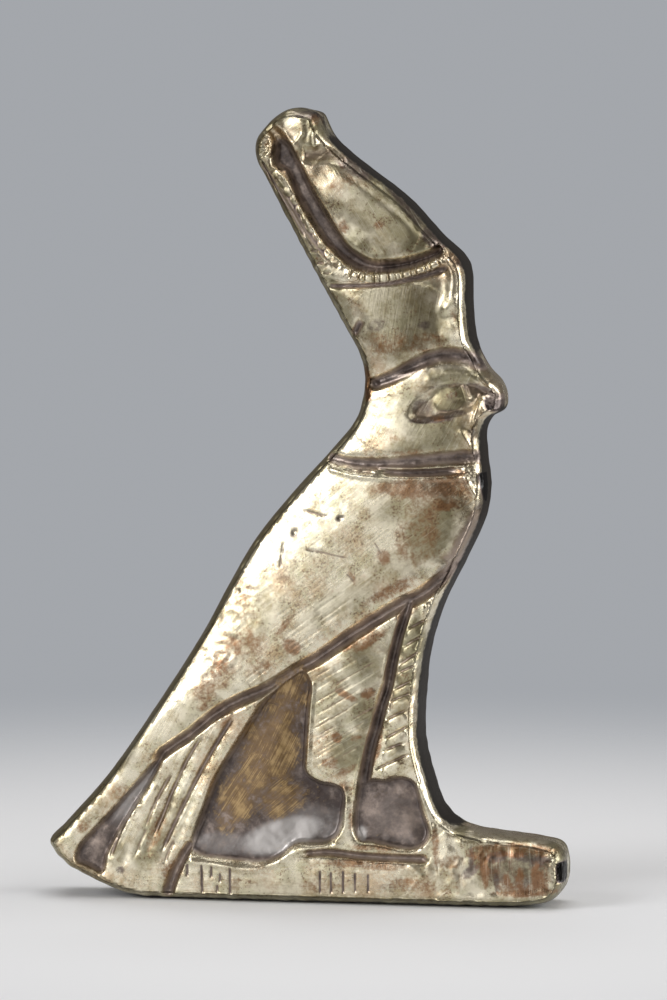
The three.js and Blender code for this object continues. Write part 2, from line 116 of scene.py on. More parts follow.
def spline(points: Path, closed: bool = False, step: float = 0.12) -> Array:
    """Centripetal Catmull-Rom spline through the points, at an even spacing.

    Each span is a cubic Hermite curve whose end slopes come from its four neighbours, with knots spaced
    by the square root of the distance between points.

    Args:
        points: Control points (x, z).
        closed: Whether the last point joins the first.
        step: Spacing of the result along the curve.

    Returns:
        Points of shape (n, 2).
    """
    p = np.array(points, float)
    if closed:
        ring = np.vstack([p[-1], p, p[0], p[1]])
    else:
        ring = np.vstack([2 * p[0] - p[1], p, 2 * p[-1] - p[-2]])
    knots = np.sqrt(np.linalg.norm(np.diff(ring, axis=0), axis=1))[:, None]
    before, span, after = knots[:-2], knots[1:-1], knots[2:]
    a, b, c, d = ring[:-3], ring[1:-2], ring[2:-1], ring[3:]
    leave = ((b - a) / before - (c - a) / (before + span) + (c - b) / span) * span
    arrive = ((c - b) / span - (d - b) / (span + after) + (d - c) / after) * span
    t = np.linspace(0.0, 1.0, 40, endpoint=False)[None, :, None]
    b, c, leave, arrive = (v[:, None, :] for v in (b, c, leave, arrive))
    curve = b + leave * t + (3 * (c - b) - 2 * leave - arrive) * t**2 + (2 * (b - c) + leave + arrive) * t**3
    fine = np.vstack([curve.reshape(-1, 2), ring[-2]])
    run = np.concatenate([[0.0], np.cumsum(np.linalg.norm(np.diff(fine, axis=0), axis=1))])
    count = max(2, int(round(run[-1] / step)))
    places = np.linspace(0.0, run[-1], count + 1)
    even = np.stack([np.interp(places, run, fine[:, k]) for k in (0, 1)], axis=1)
    return even[:-1] if closed else even


def nearest(path: Array, x: Array, z: Array, closed: bool = False) -> tuple[Array, Array]:
    """Distance to a path, and how far along it the nearest place lies.

    Args:
        path: Points of the path.
        x: Places across.
        z: Places up.
        closed: Whether the path closes on itself.

    Returns:
        The distances, and the shares of the path from 0 to 1.
    """
    ends = np.roll(path, -1, axis=0) if closed else path[1:]
    starts = path if closed else path[:-1]
    best = np.full(x.shape, np.inf)
    along = np.zeros(x.shape)
    for i, ((ax, az), (bx, bz)) in enumerate(zip(starts, ends)):
        ux, uz = bx - ax, bz - az
        t = np.clip(((x - ax) * ux + (z - az) * uz) / (ux * ux + uz * uz + 1e-12), 0.0, 1.0)
        gap = (x - ax - t * ux) ** 2 + (z - az - t * uz) ** 2
        closer = gap < best
        best[closer] = gap[closer]
        along[closer] = (i + t[closer]) / len(starts)
    return np.sqrt(best), along


def inside(path: Array, x: Array, z: Array) -> Array:
    """Whether places lie inside a closed path, where a level line crosses it an odd number of times."""
    within = np.zeros(x.shape, bool)
    for (ax, az), (bx, bz) in zip(path, np.roll(path, -1, axis=0)):
        if az != bz:
            crosses = ((az > z) != (bz > z)) & (x < (bx - ax) * (z - az) / (bz - az) + ax)
            within ^= crosses
    return within


def close_to(path: Array, reach: float, x: Array, z: Array) -> Array:
    """Whether places lie in the path's box grown by the reach."""
    low, high = path.min(axis=0) - reach, path.max(axis=0) + reach
    return (x > low[0]) & (x < high[0]) & (z > low[1]) & (z < high[1])


def ripple(x: Array, z: Array, length: float, seed: int, waves: int = 14) -> Array:
    """Smooth unevenness: a sum of plane waves with random headings, about 1 high at most places.

    Args:
        x: Places across.
        z: Places up.
        length: Usual distance from crest to crest.
        seed: Start of the random draws.
        waves: How many waves are added.

    Returns:
        The unevenness at each place.
    """
    rng = np.random.default_rng(seed)
    heading = rng.uniform(0.0, 2 * math.pi, waves)
    pace = 2 * math.pi / length * rng.uniform(0.6, 1.5, waves)
    phase = rng.uniform(0.0, 2 * math.pi, waves)
    total = np.zeros(np.shape(x))
    for h, k, p in zip(heading, pace, phase):
        total += np.cos(k * (x * math.cos(h) + z * math.sin(h)) + p)
    return total * math.sqrt(2.0 / waves)


# Forms of the pressed face


@dataclass
class Field:
    """What the forms add up to at each place of one face.

    Attributes:
        x: Places across.
        z: Places up.
        lift: Height added to the plateau.
        fall: Softening of shoulders beside cuts, taken off the height.
        power: Sum of the cut depths raised to the sharpness of their soft maximum.
        tarnish: From 0, clean, to 1, dark, and HOLE_TONE in a hole, which is painted black as shade.
        tints: Strength of each kind of mark, from 0 to 1.
        gild: Rubbed gold in a dark ground, from 0 to 1.
        grain: Heading of the polishing scratches, in radians.
    """

    x: Array
    z: Array
    sharpness: float = 5.0
    deepest: float = 0.98

    def __post_init__(self) -> None:
        """Start every quantity at nothing."""
        shape = self.x.shape
        self.lift, self.fall, self.power, self.tarnish = (np.zeros(shape) for _ in range(4))
        self.tints = {tint: np.zeros(shape) for tint in Tint}
        self.gild = np.zeros(shape)
        self.grain = np.full(shape, math.radians(38.0))

    def cut(self, near: Array, depth: Array, fall: Array, tarnish: Array) -> None:
        """Join a cut to the others where near is true."""
        self.power[near] += np.maximum(depth, 0.0) ** self.sharpness
        self.fall[near] = np.maximum(self.fall[near], fall)
        self.tarnish[near] = np.maximum(self.tarnish[near], tarnish)

    def depth(self) -> Array:
        """Depth of all cuts: the soft maximum of their depths."""
        return np.minimum(self.power ** (1.0 / self.sharpness), self.deepest)


@dataclass(frozen=True)
class Swell:
    """A broad dome round a tapered axis: (1 - r squared) squared, with r the share of the reach."""

    start: Point
    end: Point
    reach: Point
    rise: float

    def press(self, f: Field) -> None:
        """Add the dome's height."""
        axis = np.array([self.start, self.end])
        near = close_to(axis, max(self.reach), f.x, f.z)
        gap, along = nearest(axis, f.x[near], f.z[near])
        share = gap / (self.reach[0] + (self.reach[1] - self.reach[0]) * along)
        f.lift[near] += self.rise * np.clip(1.0 - share**2, 0.0, None) ** 2


@dataclass(frozen=True)
class Hollow:
    """A sunk field inside a closed outline, with sloping flanks and soft shoulders.

    The floor may swell up in its middle, by 1 - exp(-(distance / swell reach) squared), and sweep up to
    its lower border like a fillet.
    """

    edge: Path
    depth: float
    flank: float
    back: bool = True
    shoulder: float = 0.12
    soft: float = 0.4
    tarnish: float = 1.0
    clean: float = 0.0
    clean_reach: float = 0.55
    floor_swell: Point = (0.0, 1.0)
    fillet: tuple[float, float, float] = (0.0, 1.0, 0.0)

    def press(self, f: Field) -> None:
        """Cut by the eased distance to the outline, with a bell-shaped fall outside it."""
        path = spline(self.edge, closed=True, step=0.25)
        near = close_to(path, 3 * self.soft + self.flank, f.x, f.z)
        x, z = f.x[near], f.z[near]
        gap, _ = nearest(path, x, z, closed=True)
        gap = np.where(inside(path, x, z), gap, -gap)
        depth = self.depth * ease((gap + self.flank / 2) / self.flank)
        rise, reach = self.floor_swell
        depth -= rise * (1.0 - np.exp(-((np.maximum(gap, 0.0) / reach) ** 2)))
        top, span, share = self.fillet
        depth *= 1.0 - share * ease((top - z) / span)
        fall = self.shoulder * np.exp(-((np.minimum(gap, 0.0) / self.soft) ** 2))
        dark = self.tarnish * ease((gap + self.flank * 0.5) / self.flank)
        dark *= 1.0 - self.clean * (1.0 - np.exp(-((np.maximum(gap, 0.0) / self.clean_reach) ** 2)))
        f.cut(near, depth, fall, dark)


@dataclass(frozen=True)
class Groove:
    """A groove or chased line along a path, which may change its width and run out at its ends."""

    path: Path
    half: Point
    depth: float
    flank: float
    back: bool = False
    ends: tuple[End, End] = (End.CLOSED, End.CLOSED)
    shoulder: float = 0.05
    soft: float = 0.25
    tarnish: float = 0.9
    run_out: float = 0.5

    def press(self, f: Field) -> None:
        """Cut a rounded valley, (1 - r squared) to a power, less towards an end that runs out."""
        path = spline(self.path, step=0.15) if len(self.path) > 2 else np.array(self.path)
        length = float(np.linalg.norm(np.diff(path, axis=0), axis=1).sum())
        near = close_to(path, max(self.half) + self.flank + 2 * self.soft, f.x, f.z)
        gap, along = nearest(path, f.x[near], f.z[near])
        wide = self.half[0] + (self.half[1] - self.half[0]) * along
        share = np.ones(gap.shape)
        for end, run in zip(self.ends, (along, 1.0 - along)):
            if end is End.CLOSED:
                share *= ease(run * length / min(self.run_out, length / 3) + 0.1)
        reach = wide + self.flank
        section = np.clip(1.0 - (gap / reach) ** 2, 0.0, None) ** 1.6
        depth = self.depth * share * section
        outside = np.maximum(gap - wide - self.flank * 0.5, 0.0)
        fall = self.shoulder * share * np.exp(-((outside / self.soft) ** 2))
        f.cut(near, depth, fall, self.tarnish * share * section**0.8)


@dataclass(frozen=True)
class Ridge:
    """A raised line, with a bell-shaped section. A negative rise makes a soft trough."""

    path: Path
    wide: float
    rise: float
    back: bool = False

    def press(self, f: Field) -> None:
        """Add rise times exp(-(distance / wide) squared)."""
        path = spline(self.path, step=0.15) if len(self.path) > 2 else np.array(self.path)
        near = close_to(path, 3 * self.wide, f.x, f.z)
        gap, _ = nearest(path, f.x[near], f.z[near])
        f.lift[near] += self.rise * np.exp(-((gap / self.wide) ** 2))


@dataclass(frozen=True)
class Oval:
    """A turned oval boss, or with a negative rise a pit, whose section is (1 - r squared) to a power."""

    centre: Point
    radii: Point
    turn: float
    rise: float
    power: float = 0.5
    back: bool = False

    def share(self, x: Array, z: Array) -> Array:
        """Squared share of the radii at each place."""
        dx, dz = x - self.centre[0], z - self.centre[1]
        cos, sin = math.cos(self.turn), math.sin(self.turn)
        return ((dx * cos + dz * sin) / self.radii[0]) ** 2 + ((dz * cos - dx * sin) / self.radii[1]) ** 2

    def press(self, f: Field) -> None:
        """Add the boss's height."""
        f.lift += self.rise * np.clip(1.0 - self.share(f.x, f.z), 0.0, None) ** self.power


@dataclass(frozen=True)
class Crumple:
    """A patch of crumpled sheet: short waves that fade out from the middle of the patch."""

    centre: Point
    radii: Point
    height: float
    length: float
    seed: int
    back: bool = False

    def press(self, f: Field) -> None:
        """Add folded waves, height times (1 - 2 |wave|), faded by exp(-r squared)."""
        share = ((f.x - self.centre[0]) / self.radii[0]) ** 2 + ((f.z - self.centre[1]) / self.radii[1]) ** 2
        near = share < 6.0
        wave = ripple(f.x[near], f.z[near], self.length, self.seed, 6)
        f.lift[near] += self.height * (0.6 - np.sqrt(wave**2 + 0.08)) * np.exp(-share[near])


@dataclass(frozen=True)
class Beads:
    """A row of raised teeth along a path, with dark notches between them."""

    path: Path
    count: int
    half: float
    rise: float
    notch: float
    back: bool = False

    def press(self, f: Field) -> None:
        """Add rounded teeth: the root of 1 - p squared, with p running from -1 to 1 along each tooth."""
        path = spline(self.path, step=0.1)
        near = close_to(path, 2 * self.half, f.x, f.z)
        gap, along = nearest(path, f.x[near], f.z[near])
        place = along * self.count
        place += 0.16 * np.sin(2.7 * place)
        phase = 2.0 * np.abs(place - np.floor(place) - 0.5)
        window = ease(2.0 * (1.0 - gap / (1.15 * self.half)))
        window = window * ease(along * self.count) * ease((1.0 - along) * self.count)
        rise = self.rise * (0.85 + 0.25 * np.sin(5.3 * np.floor(place)))
        f.lift[near] += window * rise * (np.sqrt(np.clip(1.0 - phase**3, 0.0, 1.0)) - 0.35)
        between = np.exp(-(((1.0 - phase) / 0.18) ** 2)) * window
        f.cut(near, self.notch * between, np.zeros(gap.shape), 2.0 * self.notch * between)


@dataclass(frozen=True)
class Mark:
    """A spot of colour: a turned oval that fades towards its border."""

    centre: Point
    radii: Point
    turn: float = 0.0
    tone: float = 1.0
    tint: Tint = Tint.RED
    back: bool = False

    def press(self, f: Field) -> None:
        """Colour by the tone, less towards the border."""
        share = Oval(self.centre, self.radii, self.turn, 0.0).share(f.x, f.z)
        f.tints[self.tint] = np.maximum(f.tints[self.tint], self.tone * ease(1.2 - 0.7 * share))


@dataclass(frozen=True)
class Clean:
    """A rubbed oval inside a dark hollow, such as the eyeball, which takes tarnish off."""

    centre: Point
    radii: Point
    turn: float
    wear: float = 1.0
    back: bool = True

    def press(self, f: Field) -> None:
        """Take a share of the tarnish off inside the oval."""
        share = Oval(self.centre, self.radii, self.turn, 0.0).share(f.x, f.z)
        f.tarnish *= 1.0 - self.wear * ease(2.2 - 1.6 * share)


@dataclass(frozen=True)
class Rub:
    """A rubbed patch with scratches of its own heading, and gold showing through tarnish if asked."""

    centre: Point
    radii: Point
    turn: float
    heading: float
    gild: float = 0.0
    back: bool = False

    def press(self, f: Field) -> None:
        """Set the heading inside the oval, and add the gilding."""
        share = Oval(self.centre, self.radii, self.turn, 0.0).share(f.x, f.z)
        f.grain = np.where(share < 1.0, math.radians(self.heading), f.grain)
        f.gild = np.maximum(f.gild, self.gild * np.exp(-(share**2)))


def stroke(middle: Array, half: Array, depth: float, flank: float, tarnish: float = 0.75) -> Groove:
    """One straight chased stroke from middle - half to middle + half."""
    ends = [tuple(middle - half), tuple(middle + half)]
    return Groove(ends, (0.02, 0.02), depth, flank, shoulder=0.0, tarnish=tarnish)


@dataclass
class Crown:
    """The tall double crown: knob, curl, bulb, channel with its rope of beads, and the lower crown."""

    swells: tuple[Swell, ...] = (
        Swell((7.2, 39.4), (6.2, 43), (4.4, 5.6), 0.22),
        Swell((2.65, 50.11), (6.65, 47.1), (2.0, 2.4), 0.46),
        Swell((0.26, 54.32), (0.33, 53.42), (1.8, 1.5), 0.3),
        Swell((5.39, 39.96), (5.74, 42.39), (3.0, 3.0), 0.3),
    )
    channel: Hollow = Hollow(
        [(-1.92, 53.48), (-2.06, 52.72), (-2, 51.68), (-1.43, 51.27), (-1.01, 50.58), (-0.45, 49.33), (0.19, 48.23), (0.89, 47.13), (1.73, 46.03), (2.65, 45.2),
         (3.7, 44.59), (4.97, 44.32), (6.23, 44.4), (7.63, 44.69), (8.89, 45.18), (9.59, 45.6), (9.45, 46.01), (8.82, 45.66), (7.56, 45.24),
         (6.16, 45.02), (4.83, 45.01), (3.77, 45.49), (2.93, 46.17), (2.16, 47.34), (1.59, 48.31), (0.89, 49.34), (0.26, 50.45), (-0.23, 51.48),
         (-0.8, 52.51), (-1.29, 53.27)],
        0.74, 0.66, shoulder=0.16, soft=0.24, tarnish=0.96,
    )
    channel_top: Hollow = Hollow(
        [(-2.49, 53.89), (-2.13, 54.17), (-1.71, 54.1), (-1.36, 53.62), (-1.22, 53), (-1.92, 52.92), (-2.28, 53.41)], 0.4, 0.6, shoulder=0.1,
        soft=0.25, tarnish=0.22,
    )
    collar: Groove = Groove(
        [(-0.16, 52.45), (0.61, 52.38), (1.73, 52.46), (3, 52.33)], (0.2, 0.26), 0.32, 0.5, back=True, tarnish=0.4, run_out=0.3
    )
    line: Groove = Groove([(1.59, 43.32), (3.63, 43.34), (5.74, 43.5), (7.63, 43.86), (9.17, 44.28), (10.22, 44.78)], (0.02, 0.12), 0.22, 0.2)
    fine_line: Groove = Groove([(1.8, 43.81), (2.93, 43.61), (4.83, 43.56)], (0.02, 0.02), 0.08, 0.16, tarnish=0.35)
    band_line: Groove = Groove(
        [(-3.05, 52.02), (-2.49, 51.05), (-1.86, 50.02), (-1.22, 48.98), (-0.52, 47.81), (0.19, 46.64)], (0.03, 0.03), 0.16, 0.18, shoulder=0.0,
        tarnish=0.65,
    )
    side_bed: Groove = Groove(
        [(-2.28, 51.47), (-1.57, 50.5), (-0.94, 49.4), (-0.24, 48.09), (0.61, 46.78), (1.59, 45.54), (2.72, 44.65)], (0.1, 0.2), 0.3, 0.26,
        shoulder=0.0, soft=0.2, tarnish=0.9, run_out=0.4,
    )
    side_beads: tuple[tuple[Point, float], ...] = (
        ((-1.93, 51.06), 0.22), ((-1.43, 50.57), 0.34), ((-1.15, 49.81), 0.2), ((-0.69, 49.26), 0.2), ((-0.31, 48.57), 0.19),
        ((0.12, 47.95), 0.26), ((0.44, 47.4), 0.27), ((0.89, 46.75), 0.19), ((1.24, 46.16), 0.2), ((1.86, 45.5), 0.3),
        ((2.33, 44.92), 0.3),
    )
    front_teeth: Beads = Beads(
        [(3, 44.58), (3.77, 44.21), (4.83, 44.01), (5.95, 44.09), (7.07, 44.34), (8.26, 44.69), (9.17, 45.04), (9.8, 45.46)],
        14, 0.5, 0.4, 0.26,
    )
    side_ticks: tuple[Point, ...] = ((0.75, 45.6), (1.17, 44.77), (1.66, 44.08))
    curl_ring: Oval = Oval((-2.73, 52.99), (0.62, 1.02), -0.12, 0.34, 0.35)
    curl_eye: Oval = Oval((-2.73, 52.96), (0.4, 0.74), -0.12, -0.42, 0.7)
    curl_crumple: Crumple = Crumple((-2.73, 52.92), (0.4, 0.7), 0.16, 0.42, 41)
    folds: tuple[Ridge, ...] = (
        Ridge([(-1.99, 54.79), (-1.36, 53.83), (-0.66, 53.07)], 0.26, 0.16),
        Ridge([(-0.66, 53.07), (-0.37, 53.42), (-0.02, 53.83)], 0.14, 0.12),
        Ridge([(0.82, 53.07), (0.82, 53.77), (1.17, 54.22), (1.52, 54.29)], 0.2, 0.26),
        Ridge([(1.45, 54.18), (1.31, 53.7), (1.52, 53.42), (2.09, 52.94)], 0.12, 0.16),
        Ridge([(0.26, 54.94), (0.33, 53.97), (0.19, 53)], 0.3, -0.12),
        Ridge([(-0.87, 55.28), (0.19, 55.21), (1.31, 55.01)], 0.26, -0.12),
        Ridge([(-1.36, 51.27), (-1.01, 50.51), (-0.66, 49.68)], 0.13, 0.14),
        Ridge([(0.33, 51.83), (0.96, 50.24), (1.73, 48.72), (2.65, 47.28), (3.7, 46.32)], 0.75, 0.16),
        Ridge([(9.94, 44.98), (10.43, 44.43), (10.5, 43.33), (10.29, 42.36), (10.01, 41.87)], 0.42, 0.3),
        Ridge([(10.64, 42.36), (10.99, 41.4), (11.27, 40.36), (11.55, 39.47), (11.84, 38.71)], 0.36, 0.28),
        Ridge([(10.43, 40.49), (10.79, 39.53), (11.14, 38.84)], 0.5, 0.12),
        Ridge([(9.66, 44.36), (9.59, 42.42), (9.46, 40.35)], 0.55, -0.12),
        Ridge([(9.3, 47.12), (9.31, 46.36), (9.45, 45.74)], 0.18, -0.3),
        Ridge([(9.79, 46.91), (10, 46.36), (10.21, 45.88)], 0.14, 0.2),
        Ridge([(9.31, 45.81), (9.73, 45.6), (10.08, 45.26)], 0.14, 0.16),
        Ridge([(8.75, 46.77), (8.96, 46.36), (8.89, 46.01)], 0.3, 0.14),
        Ridge([(3, 43.19), (4.27, 43.14), (5.67, 43.29)], 0.18, 0.07),
    )
    nick: Groove = Groove([(4.13, 41.06), (3.77, 40.43), (3.42, 39.8)], (0.22, 0.08), 0.34, 0.22, shoulder=0.0, tarnish=1.0)
    corner: Crumple = Crumple((10.42, 45.88), (0.9, 0.8), 0.16, 0.9, 42)
    pit: Oval = Oval((11.19, 45.06), (0.55, 0.4), -0.5, -0.3, 0.8)

    def forms(self) -> list:
        """Every form of the crown in pressing order."""
        teeth = [Oval(p, (1.3 * size, 1.8 * size), 0.5, 0.15, 0.8) for p, size in self.side_beads]
        worn = [Clean(p, (1.25 * size, 1.7 * size), 0.5) for p, size in self.side_beads]
        worn += [Clean((1.66, 49.07), (3.2, 0.6), -1.05)]
        ticks = [Ridge([(x - 0.3, z + 0.03), (x + 0.3, z)], 0.07, 0.14) for x, z in self.side_ticks]
        hooks = [stroke(np.array(p) + (0.0, 0.12), np.array([0.32, 0.0]), 0.14, 0.14, 0.6) for p in self.side_ticks]
        marks = [
            Mark((3.77, 40.43), (0.7, 0.3), 0.95, 0.9),
            Mark((2.3, 42.36), (0.9, 2.6), 0.45, 0.8, Tint.OLIVE),
            Mark((3.42, 41.12), (1.4, 2.6), 0.5, 0.25, Tint.OLIVE),
            Mark((6.93, 40.88), (3.0, 3.4), 0.3, 0.7, Tint.OLIVE),
            Mark((6.23, 48.48), (3.4, 3.6), 0.0, 0.62, Tint.OLIVE),
            Mark((3.42, 51.5), (1.6, 0.5), -0.5, 0.9, Tint.PLUM),
            # Purple along the crown's front edge: painted shade that mutes the glint on its rolled rim.
            Mark((6.57, 49.58), (3.0, 0.35), -0.9, 0.8, Tint.PLUM),
            Mark((8.89, 46.7), (0.9, 0.5), -0.9, 0.9, Tint.PLUM),
            Mark((7.63, 47.11), (2.2, 1.6), -0.6, 0.85, Tint.OLIVE),
            Mark((4.33, 45.84), (2.8, 0.8), -0.2, 0.7, Tint.OLIVE),
            Mark((1.31, 53.22), (2.4, 1.4), 0.0, 0.5, Tint.OLIVE),
            Mark((6.44, 42.95), (4.2, 0.7), 0.1, 0.6, Tint.OLIVE),
            Mark((5.25, 40.44), (0.35, 0.3), 0.0, 0.5, Tint.PLUM),
            Mark((8.19, 40.89), (2.1, 2.0), 0.3, 0.75, Tint.OLIVE),
            Mark((9.53, 40.35), (0.8, 1.6), 0.0, 0.7, Tint.OLIVE),
            Mark((6.44, 42.39), (2.2, 0.8), 0.1, 0.4, Tint.OLIVE),
            Mark((5.95, 39.48), (1.6, 1.0), 0.3, 0.6),
            Mark((8.55, 39.44), (1.4, 0.8), 0.2, 0.6),
            Mark((5.25, 40.65), (0.8, 0.5), 0.3, 0.7, Tint.PLUM),
            Mark((8.48, 40.68), (0.5, 0.35), 0.1, 0.8, Tint.PLUM),
            Mark((10.57, 41.53), (0.35, 0.5), 0.2, 0.7),
            Mark((10.63, 45.47), (0.5, 0.6), 0.2, 0.6),
            Mark((2.86, 47.42), (0.35, 0.5), 0.2, 0.9),
            Mark((3.07, 50.94), (1.0, 0.3), -0.9, 0.6),
            Mark((5.32, 47.57), (0.4, 0.35), 0.0, 0.6),
            Mark((2.16, 50.32), (0.3, 0.25), 0.0, 0.7),
            Mark((4.12, 46.11), (1.6, 0.6), -0.3, 0.7, Tint.OLIVE),
            # Olive along the crown's front edge: olive patina and painted shade that mutes the glint on its rolled rim.
            Mark((5.73, 50.27), (3.2, 0.8), -0.85, 0.9, Tint.OLIVE),
            Mark((8.05, 47.52), (1.6, 0.9), -0.9, 0.7, Tint.OLIVE),
            Mark((6.79, 46.2), (1.4, 0.6), 0.1, 0.4, Tint.OLIVE),
            Mark((2.93, 51.84), (1.6, 0.6), -0.3, 0.7, Tint.OLIVE),
            Mark((-0.58, 55.21), (0.7, 0.3), 0.0, 0.6, Tint.PLUM),
            Mark((1.1, 54.94), (0.6, 0.5), 0.0, 0.7),
            Mark((0.33, 53.42), (0.5, 1.0), 0.0, 0.7, Tint.OLIVE),
            Mark((9.38, 46.15), (0.5, 0.7), 0.3, 0.9, Tint.PLUM),
            Mark((11.19, 45.06), (0.6, 0.5), -0.5, 1.0, Tint.PLUM),
            Mark((-0.8, 48.29), (4.6, 0.55), -1.05, 0.95, Tint.OLIVE),
            Mark((-0.24, 47.6), (3.2, 0.3), -1.05, 0.7, Tint.PLUM),
            Mark((0.19, 55.14), (1.0, 0.28), 0.0, 0.9, Tint.PLUM),
            Rub((4.33, 48.95), (4.6, 3.6), -0.9, -57.0),
            Rub((7.14, 41.02), (3.8, 2.6), 0.0, 80.0),
        ]
        return [
            *self.swells, self.channel, self.channel_top, self.collar, self.line, self.fine_line, self.band_line,
            self.side_bed, *teeth, *worn, self.front_teeth, *ticks, *hooks, self.curl_ring, self.curl_eye, self.curl_crumple,
            *self.folds, self.nick, self.corner, self.pit, *marks,
        ]


